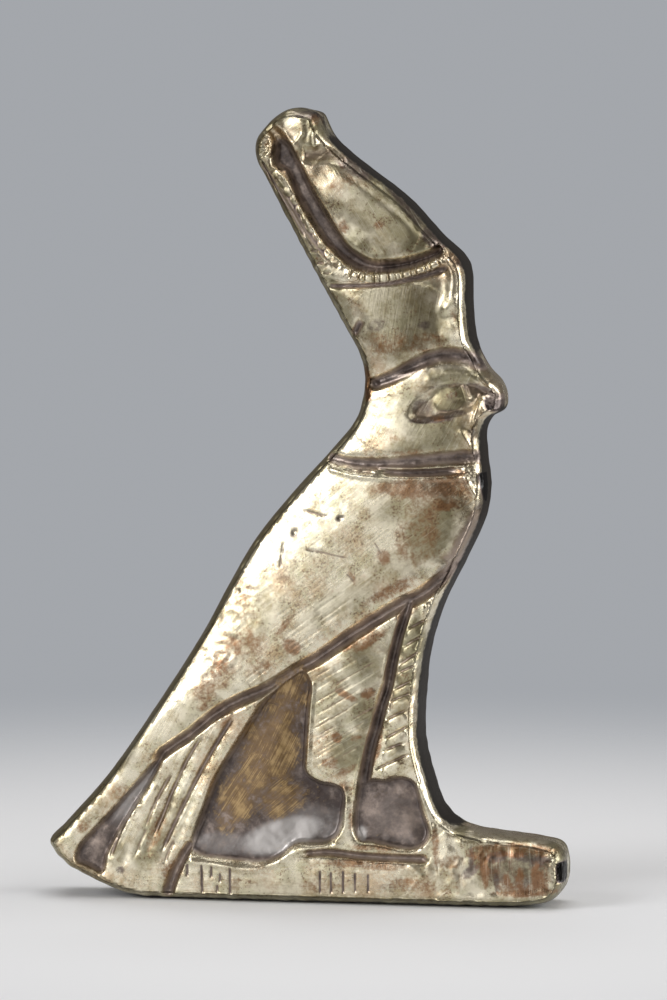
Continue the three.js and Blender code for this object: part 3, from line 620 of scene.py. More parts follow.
@dataclass
class Head:
    """The falcon's head: brow band, beak, eye, cheek and the bands at the neck."""

    swells: tuple[Swell, ...] = (
        Swell((8.2, 33.26), (10.45, 34.12), (4.2, 3.4), 0.36),
        Swell((12.54, 36.78), (13.8, 36.1), (1.5, 1.1), 0.12),
    )
    brow_band: Groove = Groove(
        [(4.97, 36.55), (6.24, 37.05), (7.36, 37.62), (8.48, 38.19), (9.67, 38.55), (10.86, 38.56), (11.7, 38.36), (12.4, 38.02)],
        (0.0, 0.22), 0.46, 0.56, back=True, ends=(End.OPEN, End.OPEN), shoulder=0.16, soft=0.5, tarnish=0.98,
    )
    brow_lines: tuple[Ridge, ...] = (
        Ridge([(5.25, 36.63), (6.45, 37.06), (7.64, 37.42), (8.62, 37.78)], 0.16, 0.14),
        Ridge([(12.11, 38.85), (12.39, 38.51), (12.67, 38.17)], 0.16, 0.16),
        Ridge([(8.9, 36.88), (10.3, 37.38), (11.84, 37.33)], 0.3, 0.1),
        Ridge([(11.84, 37.33), (12.68, 37.2), (13.38, 36.86), (13.93, 36.31)], 0.5, 0.2),
    )
    beak_top: Oval = Oval((13.1, 36.99), (1.05, 0.6), -0.6, 0.36)
    underbeak: Hollow = Hollow(
        [(12.68, 35.74), (13.1, 35.68), (13.66, 35.55), (14.22, 35.42), (14.36, 35.07), (13.8, 34.72), (13.17, 34.71), (12.75, 34.91)], 0.22, 0.2, False,
        shoulder=0.0, soft=0.2, tarnish=1.0,
    )
    beak_line: Groove = Groove(
        [(12.61, 35.88), (13.38, 35.75), (14.49, 35.49)], (0.1, 0.12), 0.36, 0.3, back=True, ends=(End.CLOSED, End.OPEN), tarnish=0.8
    )
    eye: Hollow = Hollow(
        [(7.57, 34.5), (7.99, 35.2), (8.62, 35.69), (9.32, 36.19), (10.02, 36.54), (10.86, 36.73), (11.7, 36.7), (12.4, 36.43), (12.82, 36.02), (12.33, 35.46),
         (11.7, 34.9), (11.07, 34.62), (10.24, 34.47), (9.4, 34.32), (8.69, 34.1), (7.99, 34.16)],
        0.34, 0.6, shoulder=0.04, soft=0.4, tarnish=0.34,
    )
    eyeball: Oval = Oval((10.23, 35.58), (1.15, 0.88), 0.3, 0.17, 0.7, back=True)
    ball_clean: tuple[Point, Point] = ((10.23, 35.58), (1.1, 0.8))
    cheek: tuple[Ridge, ...] = (
        Ridge([(12.47, 35.81), (12.26, 34.98), (12.05, 34.14), (12.06, 33.59)], 0.17, 0.24),
        Ridge([(12.47, 33.73), (12.55, 33.04), (12.55, 32.21)], 0.12, 0.16),
        Ridge([(11.15, 33.23), (11.5, 32.68), (11.92, 32.13)], 0.2, 0.16),
        Ridge([(11.64, 33.44), (11.99, 32.89), (12.27, 32.34)], 0.3, -0.2),
        Ridge([(11.28, 36.42), (11.42, 36.01), (11.56, 35.59)], 0.14, 0.2),
        Ridge([(11.57, 32.06), (12.06, 31.85), (12.55, 31.65)], 0.3, 0.14),
    )
    neck_upper: Groove = Groove(
        [(1.94, 31.3), (3.28, 31.04), (5.26, 31), (7.51, 31.17), (9.61, 31.4), (11.71, 31.57), (12.83, 31.59)], (0.0, 0.2), 0.34, 0.5,
        back=True, ends=(End.OPEN, End.OPEN), shoulder=0.12, soft=0.45, tarnish=0.9,
    )
    neck_lower: Groove = Groove(
        [(5.26, 30.51), (6.8, 30.39), (8.91, 30.46), (11.15, 30.63)], (0.0, 0.08), 0.36, 0.34, tarnish=0.95, run_out=1.2
    )
    neck_ridge: Ridge = Ridge([(5.33, 30.75), (7.51, 30.75), (9.61, 30.85), (11.15, 30.97)], 0.1, 0.16)
    neck_lip: Ridge = Ridge([(1.87, 30.53), (3.99, 30.14), (6.8, 29.97), (9.61, 30.08), (11.99, 30.19)], 0.2, 0.12)
    neck_folds: tuple[Groove, ...] = (
        Groove([(1.87, 31.02), (2.93, 30.75), (4.83, 30.57)], (0.02, 0.03), 0.12, 0.16, shoulder=0.0, tarnish=0.5),
        Groove([(2.58, 30.54), (3.71, 30.42), (5.12, 30.37)], (0.02, 0.02), 0.1, 0.14, shoulder=0.0, tarnish=0.4),
    )

    def forms(self) -> list:
        """Every form of the head in pressing order."""
        marks = [
            Crumple((11.5, 30.81), (0.6, 0.5), 0.09, 0.6, 51),
            Mark((9.11, 34.17), (1.7, 0.3), 0.1, 1.0, Tint.PLUM),
            Mark((10.23, 34.6), (1.4, 0.25), 0.05, 0.9, Tint.PLUM),
            Mark((9.4, 34.25), (0.7, 0.22), 0.05, 0.6),
            Mark((10.44, 35.65), (0.5, 0.45), 0.0, 0.45, Tint.PLUM),
            Mark((8.34, 34.86), (0.7, 0.7), 0.5, 0.9, Tint.PLUM),
            Mark((10.23, 35.58), (1.5, 1.2), 0.3, 1.1, Tint.OLIVE),
            Mark((8.21, 30.41), (2.9, 0.28), 0.0, 0.9),
            Mark((10.45, 30.44), (1.1, 0.3), 0.0, 1.0),
            Mark((5.05, 30.43), (2.0, 0.35), 0.0, 0.5, Tint.PLUM),
            Mark((7.64, 32.7), (1.4, 1.0), 0.0, 0.4, Tint.OLIVE),
            Mark((9.46, 35.22), (3.6, 2.4), 0.2, 0.5, Tint.OLIVE),
            Mark((9.61, 33.28), (2.4, 1.8), 0.0, 0.8, Tint.OLIVE),
            Mark((12.26, 36.15), (0.8, 0.4), -0.2, 1.0, Tint.PLUM),
            Mark((10.23, 36.48), (1.7, 0.2), 0.1, 0.6, Tint.PLUM),
            Mark((10.44, 37.86), (2.2, 0.3), 0.05, 0.5, Tint.PLUM),
            Mark((8.55, 34.65), (0.8, 0.4), 0.5, 0.6, Tint.PLUM),
            Mark((12.05, 36.22), (0.7, 0.5), -0.3, 0.8, Tint.PLUM),
            Mark((11.92, 33.03), (0.4, 0.6), 0.2, 0.7, Tint.PLUM),
            Mark((12.26, 36.22), (1.2, 0.35), -0.25, 1.2, Tint.PLUM),
            Mark((11.43, 30.67), (0.8, 0.6), 0.0, 0.5, Tint.PLUM),
            Mark((8.91, 32.3), (3.2, 0.7), 0.05, 0.75, Tint.OLIVE),
            Mark((10.66, 33.43), (1.4, 1.2), 0.0, 0.6, Tint.OLIVE),
            Mark((7.36, 34.64), (0.8, 1.6), 0.3, 0.5, Tint.OLIVE),
            Mark((10.65, 37.17), (2.4, 0.6), 0.0, 0.8, Tint.OLIVE),
            Mark((6.45, 32.82), (0.4, 0.3), 0.0, 0.5),
            Mark((4.41, 36.48), (0.35, 1.4), 0.1, 1.0),
            Mark((7.51, 31.65), (3.4, 0.4), 0.05, 0.5),
            Rub((8.2, 33.75), (5, 2.2), 0.0, 60.0),
            Rub((10.65, 37.31), (3.2, 0.8), 0.1, 62.0),
            Clean((10.23, 35.58), (1.05, 0.78), 0.3),
        ]
        return [
            *self.swells, self.brow_band, *self.brow_lines, self.beak_top, self.underbeak, self.beak_line, self.eye, self.eyeball, *self.cheek,
            self.neck_upper, self.neck_lower, *self.neck_folds, self.neck_ridge, self.neck_lip, *marks,
        ]


@dataclass
class Wing:
    """The domed body under the folded wing, with the torn breast and its stains."""

    swells: tuple[Swell, ...] = (
        Swell((-11, 11), (6, 26.5), (3.2, 8), 0.44),
        Swell((3.43, 24.27), (8.92, 27.15), (4, 4.6), 0.12),
    )
    edge: Groove = Groove(
        [(11.72, 24.97), (10.67, 23.98), (9.62, 22.98), (8.29, 21.91), (6.67, 21.11), (5.05, 20.11), (3.29, 18.95), (1.02, 17.36), (-0.47, 16.49), (-2.53, 15.18),
         (-4.52, 14.3), (-6.3, 13.27), (-8.09, 11.82), (-10.03, 10.44), (-10.96, 9.49)],
        (0.16, 0.0), 0.7, 0.5, back=True, ends=(End.OPEN, End.CLOSED), shoulder=0.1, soft=0.45, tarnish=0.82, run_out=1.6,
    )
    side: Groove = Groove(
        [(12.35, 28.04), (11.65, 26.64), (10.81, 25.23), (9.9, 23.96)], (0.1, 0.14), 0.16, 0.6, shoulder=0.0, tarnish=0.55
    )
    # A torn hole, painted black inside as shade.
    tear: Hollow = Hollow(
        [(12.27, 30.4), (12.41, 29.29), (12.63, 28.18), (12.97, 29.09), (13.04, 29.86), (12.76, 30.41)], 0.98, 0.16, back=False, shoulder=0.0,
        tarnish=HOLE_TONE,
    )
    lips: tuple[Ridge, ...] = (
        Ridge([(11.43, 30.11), (11.71, 29.49), (12.07, 28.94), (12.42, 28.39)], 0.24, 0.26),
        Ridge([(13.04, 30.13), (13.11, 29.44), (12.91, 28.6)], 0.1, 0.12),
        Ridge([(10.68, 23.35), (11.17, 23.98), (11.58, 24.69)], 0.2, 0.12),
    )
    scratches: tuple[tuple[Point, Point], ...] = (
        ((-0.04, 25.05), (3.29, 24.41)), ((-1.45, 25.59), (-1.67, 23.48)), ((3, 23.42), (3.71, 22.74)), ((-0.32, 27.7), (1.87, 27.25)),
        ((4.98, 25.69), (5.68, 24.59)),
    )
    hair_fields: tuple[tuple[Point, float, int], ...] = (((-0.82, 17.54), 3.4, 9), ((1.02, 19.47), 3.6, 8), ((-3.81, 14.31), 3.0, 6))
    pits: tuple[Point, ...] = ((2.65, 27.19), (-0.67, 26.16), (5.26, 24.65), (-4.79, 21.89))

    def forms(self) -> list:
        """Every form of the wing in pressing order."""
        lines = [Groove([a, b], (0.0, 0.0), 0.05, 0.11, shoulder=0.0, tarnish=0.55) for a, b in self.scratches]
        for (x, z), reach, count in self.hair_fields:
            for k in range(count):
                low = np.array([x - 0.12 * k, z + 0.34 * k])
                run = reach * (0.6 + 0.4 * math.sin(2.3 * k)) * np.array([math.cos(0.62), math.sin(0.62)])
                ends = [tuple(low), tuple(low + run)]
                lines.append(Groove(ends, (0.0, 0.0), 0.035, 0.08, shoulder=0.0, tarnish=0.0))
        pits = [Oval(p, (0.35, 0.28), 0.4, -0.08, 2.0) for p in self.pits]
        marks = [
            Crumple((-6, 17.5), (3.6, 6.5), 0.03, 1.5, 61),
            Crumple((-1, 27.2), (3.6, 3), 0.02, 1.7, 62),
            Crumple((-12.76, 8.11), (2.4, 2.6), 0.025, 2.0, 63),
            Mark((5.68, 24.59), (0.5, 0.6), 0.6, 0.9),
            Mark((3.5, 23.08), (0.2, 0.6), 0.5, 0.7),
            Mark((10.11, 28.14), (0.8, 0.32), 0.25, 0.95),
            Mark((8.49, 27.7), (1.2, 0.5), 0.2, 0.6),
            Mark((-0.75, 18.17), (0.75, 0.55), -0.6, 1.0),
            Mark((-3.66, 18.68), (0.35, 0.9), 0.3, 0.65),
            Mark((-5.37, 16.96), (1.2, 2.2), -0.6, 0.6),
            Mark((-6.94, 14.95), (0.9, 1.1), -0.4, 0.65),
            Mark((-4.29, 21.89), (0.9, 1.4), -0.4, 0.55),
            Mark((-3.45, 17.49), (0.6, 1.6), -0.3, 0.6),
            Mark((-2.95, 16.58), (0.8, 0.5), 0.4, 0.6),
            Mark((-3.94, 19.94), (1.6, 3.2), -0.6, 0.55, Tint.OLIVE),
            Mark((-13.12, 7.74), (0.8, 0.5), 0.7, 0.4),
            Mark((-7.16, 13.75), (0.5, 0.35), 0.3, 0.8),
            Mark((-10.38, 10.5), (0.4, 0.25), 0.3, 0.6, Tint.PLUM),
            Mark((-1.31, 19.63), (1.4, 0.25), 0.9, 0.6),
            Mark((8.56, 29.37), (3.6, 0.8), 0.02, 0.9),
            Mark((9.61, 28.69), (2.2, 0.9), 0.1, 0.65),
            Mark((10.52, 29.68), (1.3, 0.6), 0.1, 0.9),
            Mark((7.16, 25.38), (0.7, 1.5), 0.5, 0.6),
            Mark((8.07, 26.09), (2.0, 2.4), -0.3, 0.5),
            Mark((2.58, 28.1), (1.3, 0.5), 0.2, 0.4, Tint.PLUM),
            Mark((2.65, 27.19), (0.4, 0.3), 0.2, 0.8, Tint.PLUM),
            Mark((-0.67, 26.16), (0.4, 0.5), 0.0, 0.8, Tint.PLUM),
            Mark((6.25, 22.22), (2.2, 0.5), 0.5, 0.75),
            Mark((8.92, 26.45), (1.7, 2.4), -0.5, 0.95, Tint.OLIVE),
            Mark((11.86, 26.29), (0.75, 3.0), -0.49, 1.1, Tint.PLUM),
            Mark((10.18, 23.69), (0.6, 1.2), -0.9, 0.9, Tint.PLUM),
            Mark((7.16, 27.82), (2.4, 1.0), 0.2, 0.6, Tint.OLIVE),
            Mark((6.46, 23.97), (2.6, 1.0), 0.6, 0.5, Tint.OLIVE),
            Mark((2.93, 21.47), (3.4, 0.9), 0.55, 0.45, Tint.OLIVE),
            Mark((-5.65, 17.37), (0.9, 2.6), -0.6, 0.5, Tint.PLUM),
            Mark((-7.37, 13.39), (2.6, 1.0), 0.8, 0.4, Tint.OLIVE),
            Mark((-2.95, 15.03), (2.2, 0.6), 0.6, 0.5, Tint.OLIVE),
            Mark((-3.8, 21.2), (0.8, 1.6), -0.4, 0.45, Tint.PLUM),
            Mark((-1.31, 23.84), (1.2, 1.6), -0.4, 0.4, Tint.PLUM),
        ]
        return [*self.swells, self.edge, self.side, self.tear, *self.lips, *lines, *pits, *marks]


@dataclass
class Tail:
    """The wing tip, the dark wedge below it and the tail fan with its quills."""

    wedge: Hollow = Hollow(
        [(-9.95, 10.51), (-10.96, 9.42), (-11.75, 8.49), (-12.62, 7.54), (-13.41, 6.6), (-14.35, 5.59), (-15.43, 4.42), (-16.23, 3.41), (-16.31, 2.62), (-15.44, 2.22),
         (-14.58, 1.89), (-14.21, 3.03), (-13.49, 4.47), (-12.62, 5.91), (-11.83, 7.14), (-11.18, 8.14), (-10.53, 9.22)],
        0.66, 0.5, back=False, tarnish=1.0, clean=0.1, clean_reach=0.3, floor_swell=(0.1, 0.5),
    )
    notch: Groove = Groove(
        [(-8.18, 3.9), (-8.76, 2.96), (-9.26, 1.96), (-9.77, 0.59)], (0.0, 0.14), 0.5, 0.42, ends=(End.OPEN, End.OPEN), tarnish=0.8
    )
    quills: tuple[Groove, ...] = (
        Groove([(-4.88, 13.3), (-6.24, 11.16), (-7.67, 8.65), (-8.96, 6.07), (-9.47, 5), (-10.26, 3.28)], (0.0, 0.0), 0.24, 0.22, tarnish=0.75, run_out=1.2),
        Groove([(-7.09, 11.99), (-8.24, 10.12), (-9.32, 7.91), (-10.33, 5.47), (-10.83, 4.4)], (0.0, 0.0), 0.2, 0.2, tarnish=0.65, run_out=1.2),
        Groove([(-9.24, 9.32), (-10.18, 7.74), (-10.97, 6.1), (-11.48, 4.74)], (0.0, 0.0), 0.16, 0.18, tarnish=0.55, run_out=1.2),
        Groove([(-11.61, 7.36), (-12.55, 5.91), (-13.27, 4.48), (-13.93, 2.76)], (0.0, 0.02), 0.2, 0.2, tarnish=0.65, run_out=0.9),
        Groove([(-10.97, 5.53), (-11.69, 4.09), (-12.2, 2.8)], (0.0, 0.0), 0.1, 0.18, tarnish=0.45, run_out=1.0),
        Groove([(-9.11, 4.58), (-9.69, 3.43), (-10.05, 2.43)], (0.0, 0.0), 0.12, 0.18, tarnish=0.5, run_out=0.8),
    )
    valleys: tuple[Ridge, ...] = (
        Ridge([(-9.82, 7.12), (-10.61, 5.11), (-11.19, 3.54)], 0.36, -0.12),
        Ridge([(-11.62, 6.22), (-12.41, 4.36), (-12.85, 2.78)], 0.3, -0.08),
        Ridge([(-7.03, 8.95), (-8.1, 6.59), (-9.11, 3.95)], 0.3, -0.06),
    )
    ribs: tuple[Ridge, ...] = (
        Ridge([(-3.81, 13.19), (-5.09, 11.47), (-6.53, 8.96), (-7.67, 6.32), (-8.54, 4.31)], 0.5, 0.09),
        Ridge([(-5.8, 12.72), (-7.16, 10.57), (-8.39, 8.21), (-9.39, 5.85)], 0.36, 0.07),
        Ridge([(-8.09, 10.83), (-9.1, 9.11), (-9.89, 7.47)], 0.34, 0.09),
        Ridge([(-10.82, 7.8), (-11.4, 6.72), (-11.98, 5.5), (-12.7, 3.78)], 0.36, 0.09),
        Ridge([(-11.97, 6.64), (-12.84, 5.06), (-13.57, 3.33)], 0.14, 0.1),
        Ridge([(-2.95, 14.4), (-4.52, 13.45), (-6.3, 12.71), (-7.66, 11.62)], 0.18, 0.09),
    )

    def forms(self) -> list:
        """Every form of the tail in pressing order."""
        marks = [
            Crumple((-11.7, 3.17), (1.8, 2.2), 0.02, 1.3, 71),
            Crumple((-15.65, 4.98), (2.0, 2.0), 0.025, 1.5, 72),
            # Grey painted reflection along the top of the dark wedge.
            Mark((-11.9, 7.42), (2.6, 0.8), 0.85, 0.8, Tint.PAINTED_REFLECTION),
            Mark((-9.4, 2.02), (0.7, 1.0), -0.4, 0.8),
            Mark((-8.76, 2.75), (0.4, 0.9), -0.4, 0.8, Tint.PLUM),
            Mark((-10.62, 4.76), (0.5, 1.4), -0.45, 0.7),
            Mark((-10.04, 6.26), (0.4, 1.6), -0.45, 0.5, Tint.PLUM),
            Mark((-5.38, 12.73), (0.7, 0.35), 0.9, 0.7),
            Mark((-13.14, 2.07), (0.35, 0.3), 0.0, 0.8, Tint.PLUM),
            Mark((-15.72, 5.13), (0.8, 0.4), 0.6, 0.6),
            Mark((-15.28, 6.13), (1.6, 0.7), 0.8, 0.55, Tint.OLIVE),
            Mark((-10.98, 3.83), (1.1, 2.2), -0.4, 0.75, Tint.OLIVE),
            Mark((-9.18, 6.07), (0.9, 2.2), -0.45, 0.5, Tint.OLIVE),
            Mark((-13.28, 3.13), (0.6, 1.2), -0.4, 0.6, Tint.OLIVE),
            Rub((-9.53, 7.12), (5.5, 7), 0.0, 62.0),
        ]
        return [self.wedge, self.notch, *self.quills, *self.valleys, *self.ribs, *marks]


@dataclass
class Legs:
    """Thighs, legs and feet, with the sunk ground between them and the tail."""

    swells: tuple[Swell, ...] = (
        Swell((3.43, 16.57), (1.87, 10.92), (3, 2.4), 0.18),
        Swell((7.52, 18.75), (6.68, 11.03), (1.7, 1.7), 0.18),
    )
    ground: Hollow = Hollow(
        [(-0.18, 16.43), (0.39, 15.39), (0.24, 13.98), (0.1, 12.29), (0.03, 10.46), (-0.04, 9.47), (0.38, 8.91), (1.23, 8.51), (2.09, 8.39), (2.65, 8.05),
         (2.79, 7.49), (2.65, 6.57), (2.51, 5.58), (2.23, 4.87), (1.45, 4.43), (0.38, 4.33), (-0.47, 4.31), (-1.04, 4.01), (-1.54, 3.5), (-2.4, 3.06),
         (-3.39, 2.89), (-4.54, 3), (-5.96, 3.11), (-7.18, 3.22), (-8.04, 3.62), (-7.96, 4.33), (-7.53, 5.54), (-7.03, 6.83), (-6.45, 8.4), (-5.52, 10.05),
         (-4.52, 11.62), (-3.67, 12.98), (-2.88, 14.19), (-1.96, 15.2), (-1.1, 15.92)],
        0.86, 0.56, shoulder=0.08, soft=0.35, tarnish=1.06, clean=0.08, clean_reach=0.7, floor_swell=(0.2, 1.7),
        fillet=(6.2, 2.8, 0.6),
    )
    leg_gap: Hollow = Hollow(
        [(4.78, 8.81), (5.7, 8.76), (6.54, 8.99), (7.25, 8.94), (7.74, 8.67), (8.03, 7.83), (8.24, 6.85), (8.52, 6.02), (8.74, 5.25), (8.53, 4.54),
         (7.82, 4.1), (6.97, 4.08), (5.98, 4.26), (4.85, 4.45), (4, 4.57), (3.65, 5.05), (3.57, 6.18), (3.72, 7.45), (4, 8.51)],
        0.74, 0.5, shoulder=0.08, soft=0.3, tarnish=1.0, clean=0.16, clean_reach=0.5, floor_swell=(0.16, 1.1),
        fillet=(5.6, 1.8, 0.5),
    )
    thigh_groove: Groove = Groove(
        [(7.38, 21.27), (6.96, 20), (6.53, 18.52), (6.18, 16.98), (5.9, 15.5), (5.48, 14.16), (5.13, 12.75), (4.7, 11.27), (4.42, 9.85), (4.21, 8.44)],
        (0.04, 0.14), 0.6, 0.42, back=True, ends=(End.OPEN, End.OPEN), shoulder=0.06, soft=0.3, tarnish=0.98,
    )
    foot_slot: Groove = Groove(
        [(-0.19, 3.54), (1.87, 3.66), (3.65, 3.5), (5.42, 3.4), (7.19, 3.38), (9.02, 3.36)], (0.02, 0.08), 0.38, 0.32, tarnish=0.82, run_out=0.8
    )
    ridges: tuple[Ridge, ...] = (
        Ridge([(8.71, 21.15), (8.72, 19.48), (8.51, 18.07), (8.37, 16.81), (8.3, 15.62), (8.23, 14.43)], 0.2, 0.16),
        Ridge([(8.3, 17.72), (8.16, 16.53), (8.09, 15.27)], 0.34, 0.22),
        Ridge([(7.88, 14.28), (7.81, 13.16), (7.88, 11.9), (8.02, 10.92), (8.38, 9.81), (8.8, 8.69), (9.23, 7.72), (9.58, 6.82)], 0.42, 0.32),
        Ridge([(6.67, 20.14), (6.18, 18.38), (5.76, 16.76), (5.55, 15), (5.06, 13.8), (4.63, 12.39), (4.14, 10.55), (3.79, 9.14), (3.57, 7.44)], 0.1, 0.14),
        Ridge([(0.31, 16.37), (2.23, 17.95), (4.35, 19.25), (6.46, 20.41)], 0.14, 0.08),
        Ridge([(0.67, 15.46), (0.53, 13.7), (0.38, 11.59), (0.31, 9.83)], 0.16, 0.14),
        Ridge([(2.87, 8.13), (3.01, 6.72), (2.87, 5.31), (2.3, 4.52)], 0.2, 0.14),
        Ridge([(-7.97, 2.77), (-5.96, 2.61), (-3.82, 2.38), (-1.97, 2.86), (-0.83, 3.59), (0.59, 3.98), (2.3, 4.17)], 0.24, 0.16),
        Ridge([(8.1, 8.54), (8.52, 7.42), (8.95, 6.17), (9.09, 5.05), (8.53, 4.19)], 0.16, 0.16),
    )
    feathers: tuple[tuple[Point, Point], ...] = (
        ((7.38, 19.52), (8.71, 20.24)), ((7.03, 18.25), (8.43, 19.12)), ((6.75, 16.99), (8.3, 18.07)), ((6.68, 16.43), (8.02, 17.09)),
        ((6.33, 15.23), (7.81, 16.03)), ((5.97, 14.38), (7.74, 15.12)), ((5.76, 13.11), (7.39, 13.92)), ((5.69, 11.78), (7.53, 12.8)),
        ((5.55, 10.93), (7.18, 11.6)), ((4.99, 9.59), (7.6, 10.84)),
    )
    hatch_heading: float = math.radians(31.0)

    def forms(self) -> list:
        """Every form of the legs in pressing order."""
        feathers = []
        for start, end in self.feathers:
            feathers.append(Groove([start, end], (0.0, 0.0), 0.18, 0.13, shoulder=0.0, tarnish=0.6, run_out=0.5))
            middle = ((start[0] + end[0]) / 2, (start[1] + end[1]) / 2 - 0.5)
            feathers.append(Oval(middle, (0.85, 0.5), 0.55, 0.16))
        hatch = []
        along = np.array([math.cos(self.hatch_heading), math.sin(self.hatch_heading)])
        for k in range(22):
            low = np.array([0.75 + 1.3 * (0.5 + 0.5 * math.sin(2.4 * k)) * (k % 3), 9.7 + 0.3 * k])
            ends = [tuple(low), tuple(low + along * (2.6 + 1.3 * math.sin(1.7 * k)))]
            hatch.append(Groove(ends, (0.0, 0.01), 0.035, 0.1, shoulder=0.0, tarnish=0.4 * (k % 2)))
        marks = [
            Mark((3.01, 14.81), (0.9, 0.3), -0.5, 0.9),
            Mark((4.56, 14.98), (0.55, 0.4), 0.4, 0.9),
            Mark((2.37, 11.78), (0.4, 0.45), 0.2, 0.95),
            Mark((3.64, 11.8), (0.45, 0.25), 0.2, 0.7),
            Mark((2.09, 9.73), (0.4, 0.2), 0.2, 0.8),
            Mark((3.08, 9.54), (0.8, 0.3), 0.5, 0.7),
            Mark((1.31, 11.61), (0.7, 0.3), 0.4, 0.6),
            Mark((4.06, 18.69), (1.5, 0.3), 0.55, 0.7),
            Mark((3.29, 10.81), (1.6, 1.5), 0.3, 0.95, Tint.OLIVE),
            Mark((2.23, 14.44), (2.0, 2.8), 0.2, 0.6, Tint.OLIVE),
            Mark((4.21, 13.64), (1.0, 1.4), 0.0, 0.8, Tint.OLIVE),
            Mark((4.14, 17.15), (1.6, 1.8), 0.3, 0.75, Tint.OLIVE),
            Mark((1.87, 10.08), (0.6, 0.4), 0.3, 0.8),
            Mark((3.43, 8.49), (1.6, 0.4), 0.3, 0.6),
            Mark((4.84, 18.7), (1.5, 0.3), 0.6, 0.8),
            Mark((5.13, 10.99), (0.35, 1.6), -0.25, 1.0),
            Mark((3.29, 5.89), (0.2, 0.9), 0.0, 0.7),
            Mark((7.31, 20.71), (1.2, 0.5), 0.5, 0.7),
            Mark((7.38, 16.79), (0.8, 2.6), -0.1, 0.6, Tint.OLIVE),
            Mark((6.47, 11.31), (0.8, 1.2), 0.0, 0.6, Tint.OLIVE),
            Mark((4.85, 4.09), (2.0, 0.25), -0.05, 0.8),
            Mark((6.46, 18.73), (0.4, 1.4), -0.25, 0.7, Tint.OLIVE),
            Mark((7.73, 18.76), (1.0, 1.8), -0.1, 0.9, Tint.OLIVE),
            Mark((7.1, 15.25), (0.8, 2.4), -0.2, 0.8, Tint.OLIVE),
            Mark((8.59, 7.57), (0.3, 1.2), 0.25, 0.5, Tint.OLIVE),
            Rub((2.94, 13.75), (3.4, 5), 0.0, 30.0),
            Rub((-1.39, 14.01), (1.5, 3.2), -0.35, 68.0, 0.85),
            Rub((-2.67, 10.68), (2.3, 3.4), -0.25, 64.0, 1.0),
            Rub((-4.53, 7.6), (1.6, 3.2), -0.5, 56.0, 0.85),
            Rub((-1.82, 7.31), (2.0, 1.5), 0.3, 40.0, 0.8),
            # Grey painted reflections on the sunk ground and in the leg gap, with a painted highlight near the foot.
            Mark((-1.61, 4.77), (2.9, 1.1), 0.3, 1.5, Tint.PAINTED_REFLECTION),
            Mark((-5.82, 4.1), (2.4, 0.8), 0.0, 0.55, Tint.PAINTED_REFLECTION),
            Mark((6.69, 5.97), (2.0, 1.8), 0.0, 0.2, Tint.PAINTED_REFLECTION),
            Mark((4, 4.92), (0.35, 0.6), 0.0, 1.2, Tint.PAINTED_REFLECTION),
            Mark((0.59, 5.54), (2.4, 1.4), 0.0, 0.5, Tint.PAINTED_REFLECTION),
        ]
        return [
            *self.swells, self.ground, self.leg_gap, self.thigh_groove, self.foot_slot, *self.ridges, *feathers,
            *hatch, *marks,
        ]


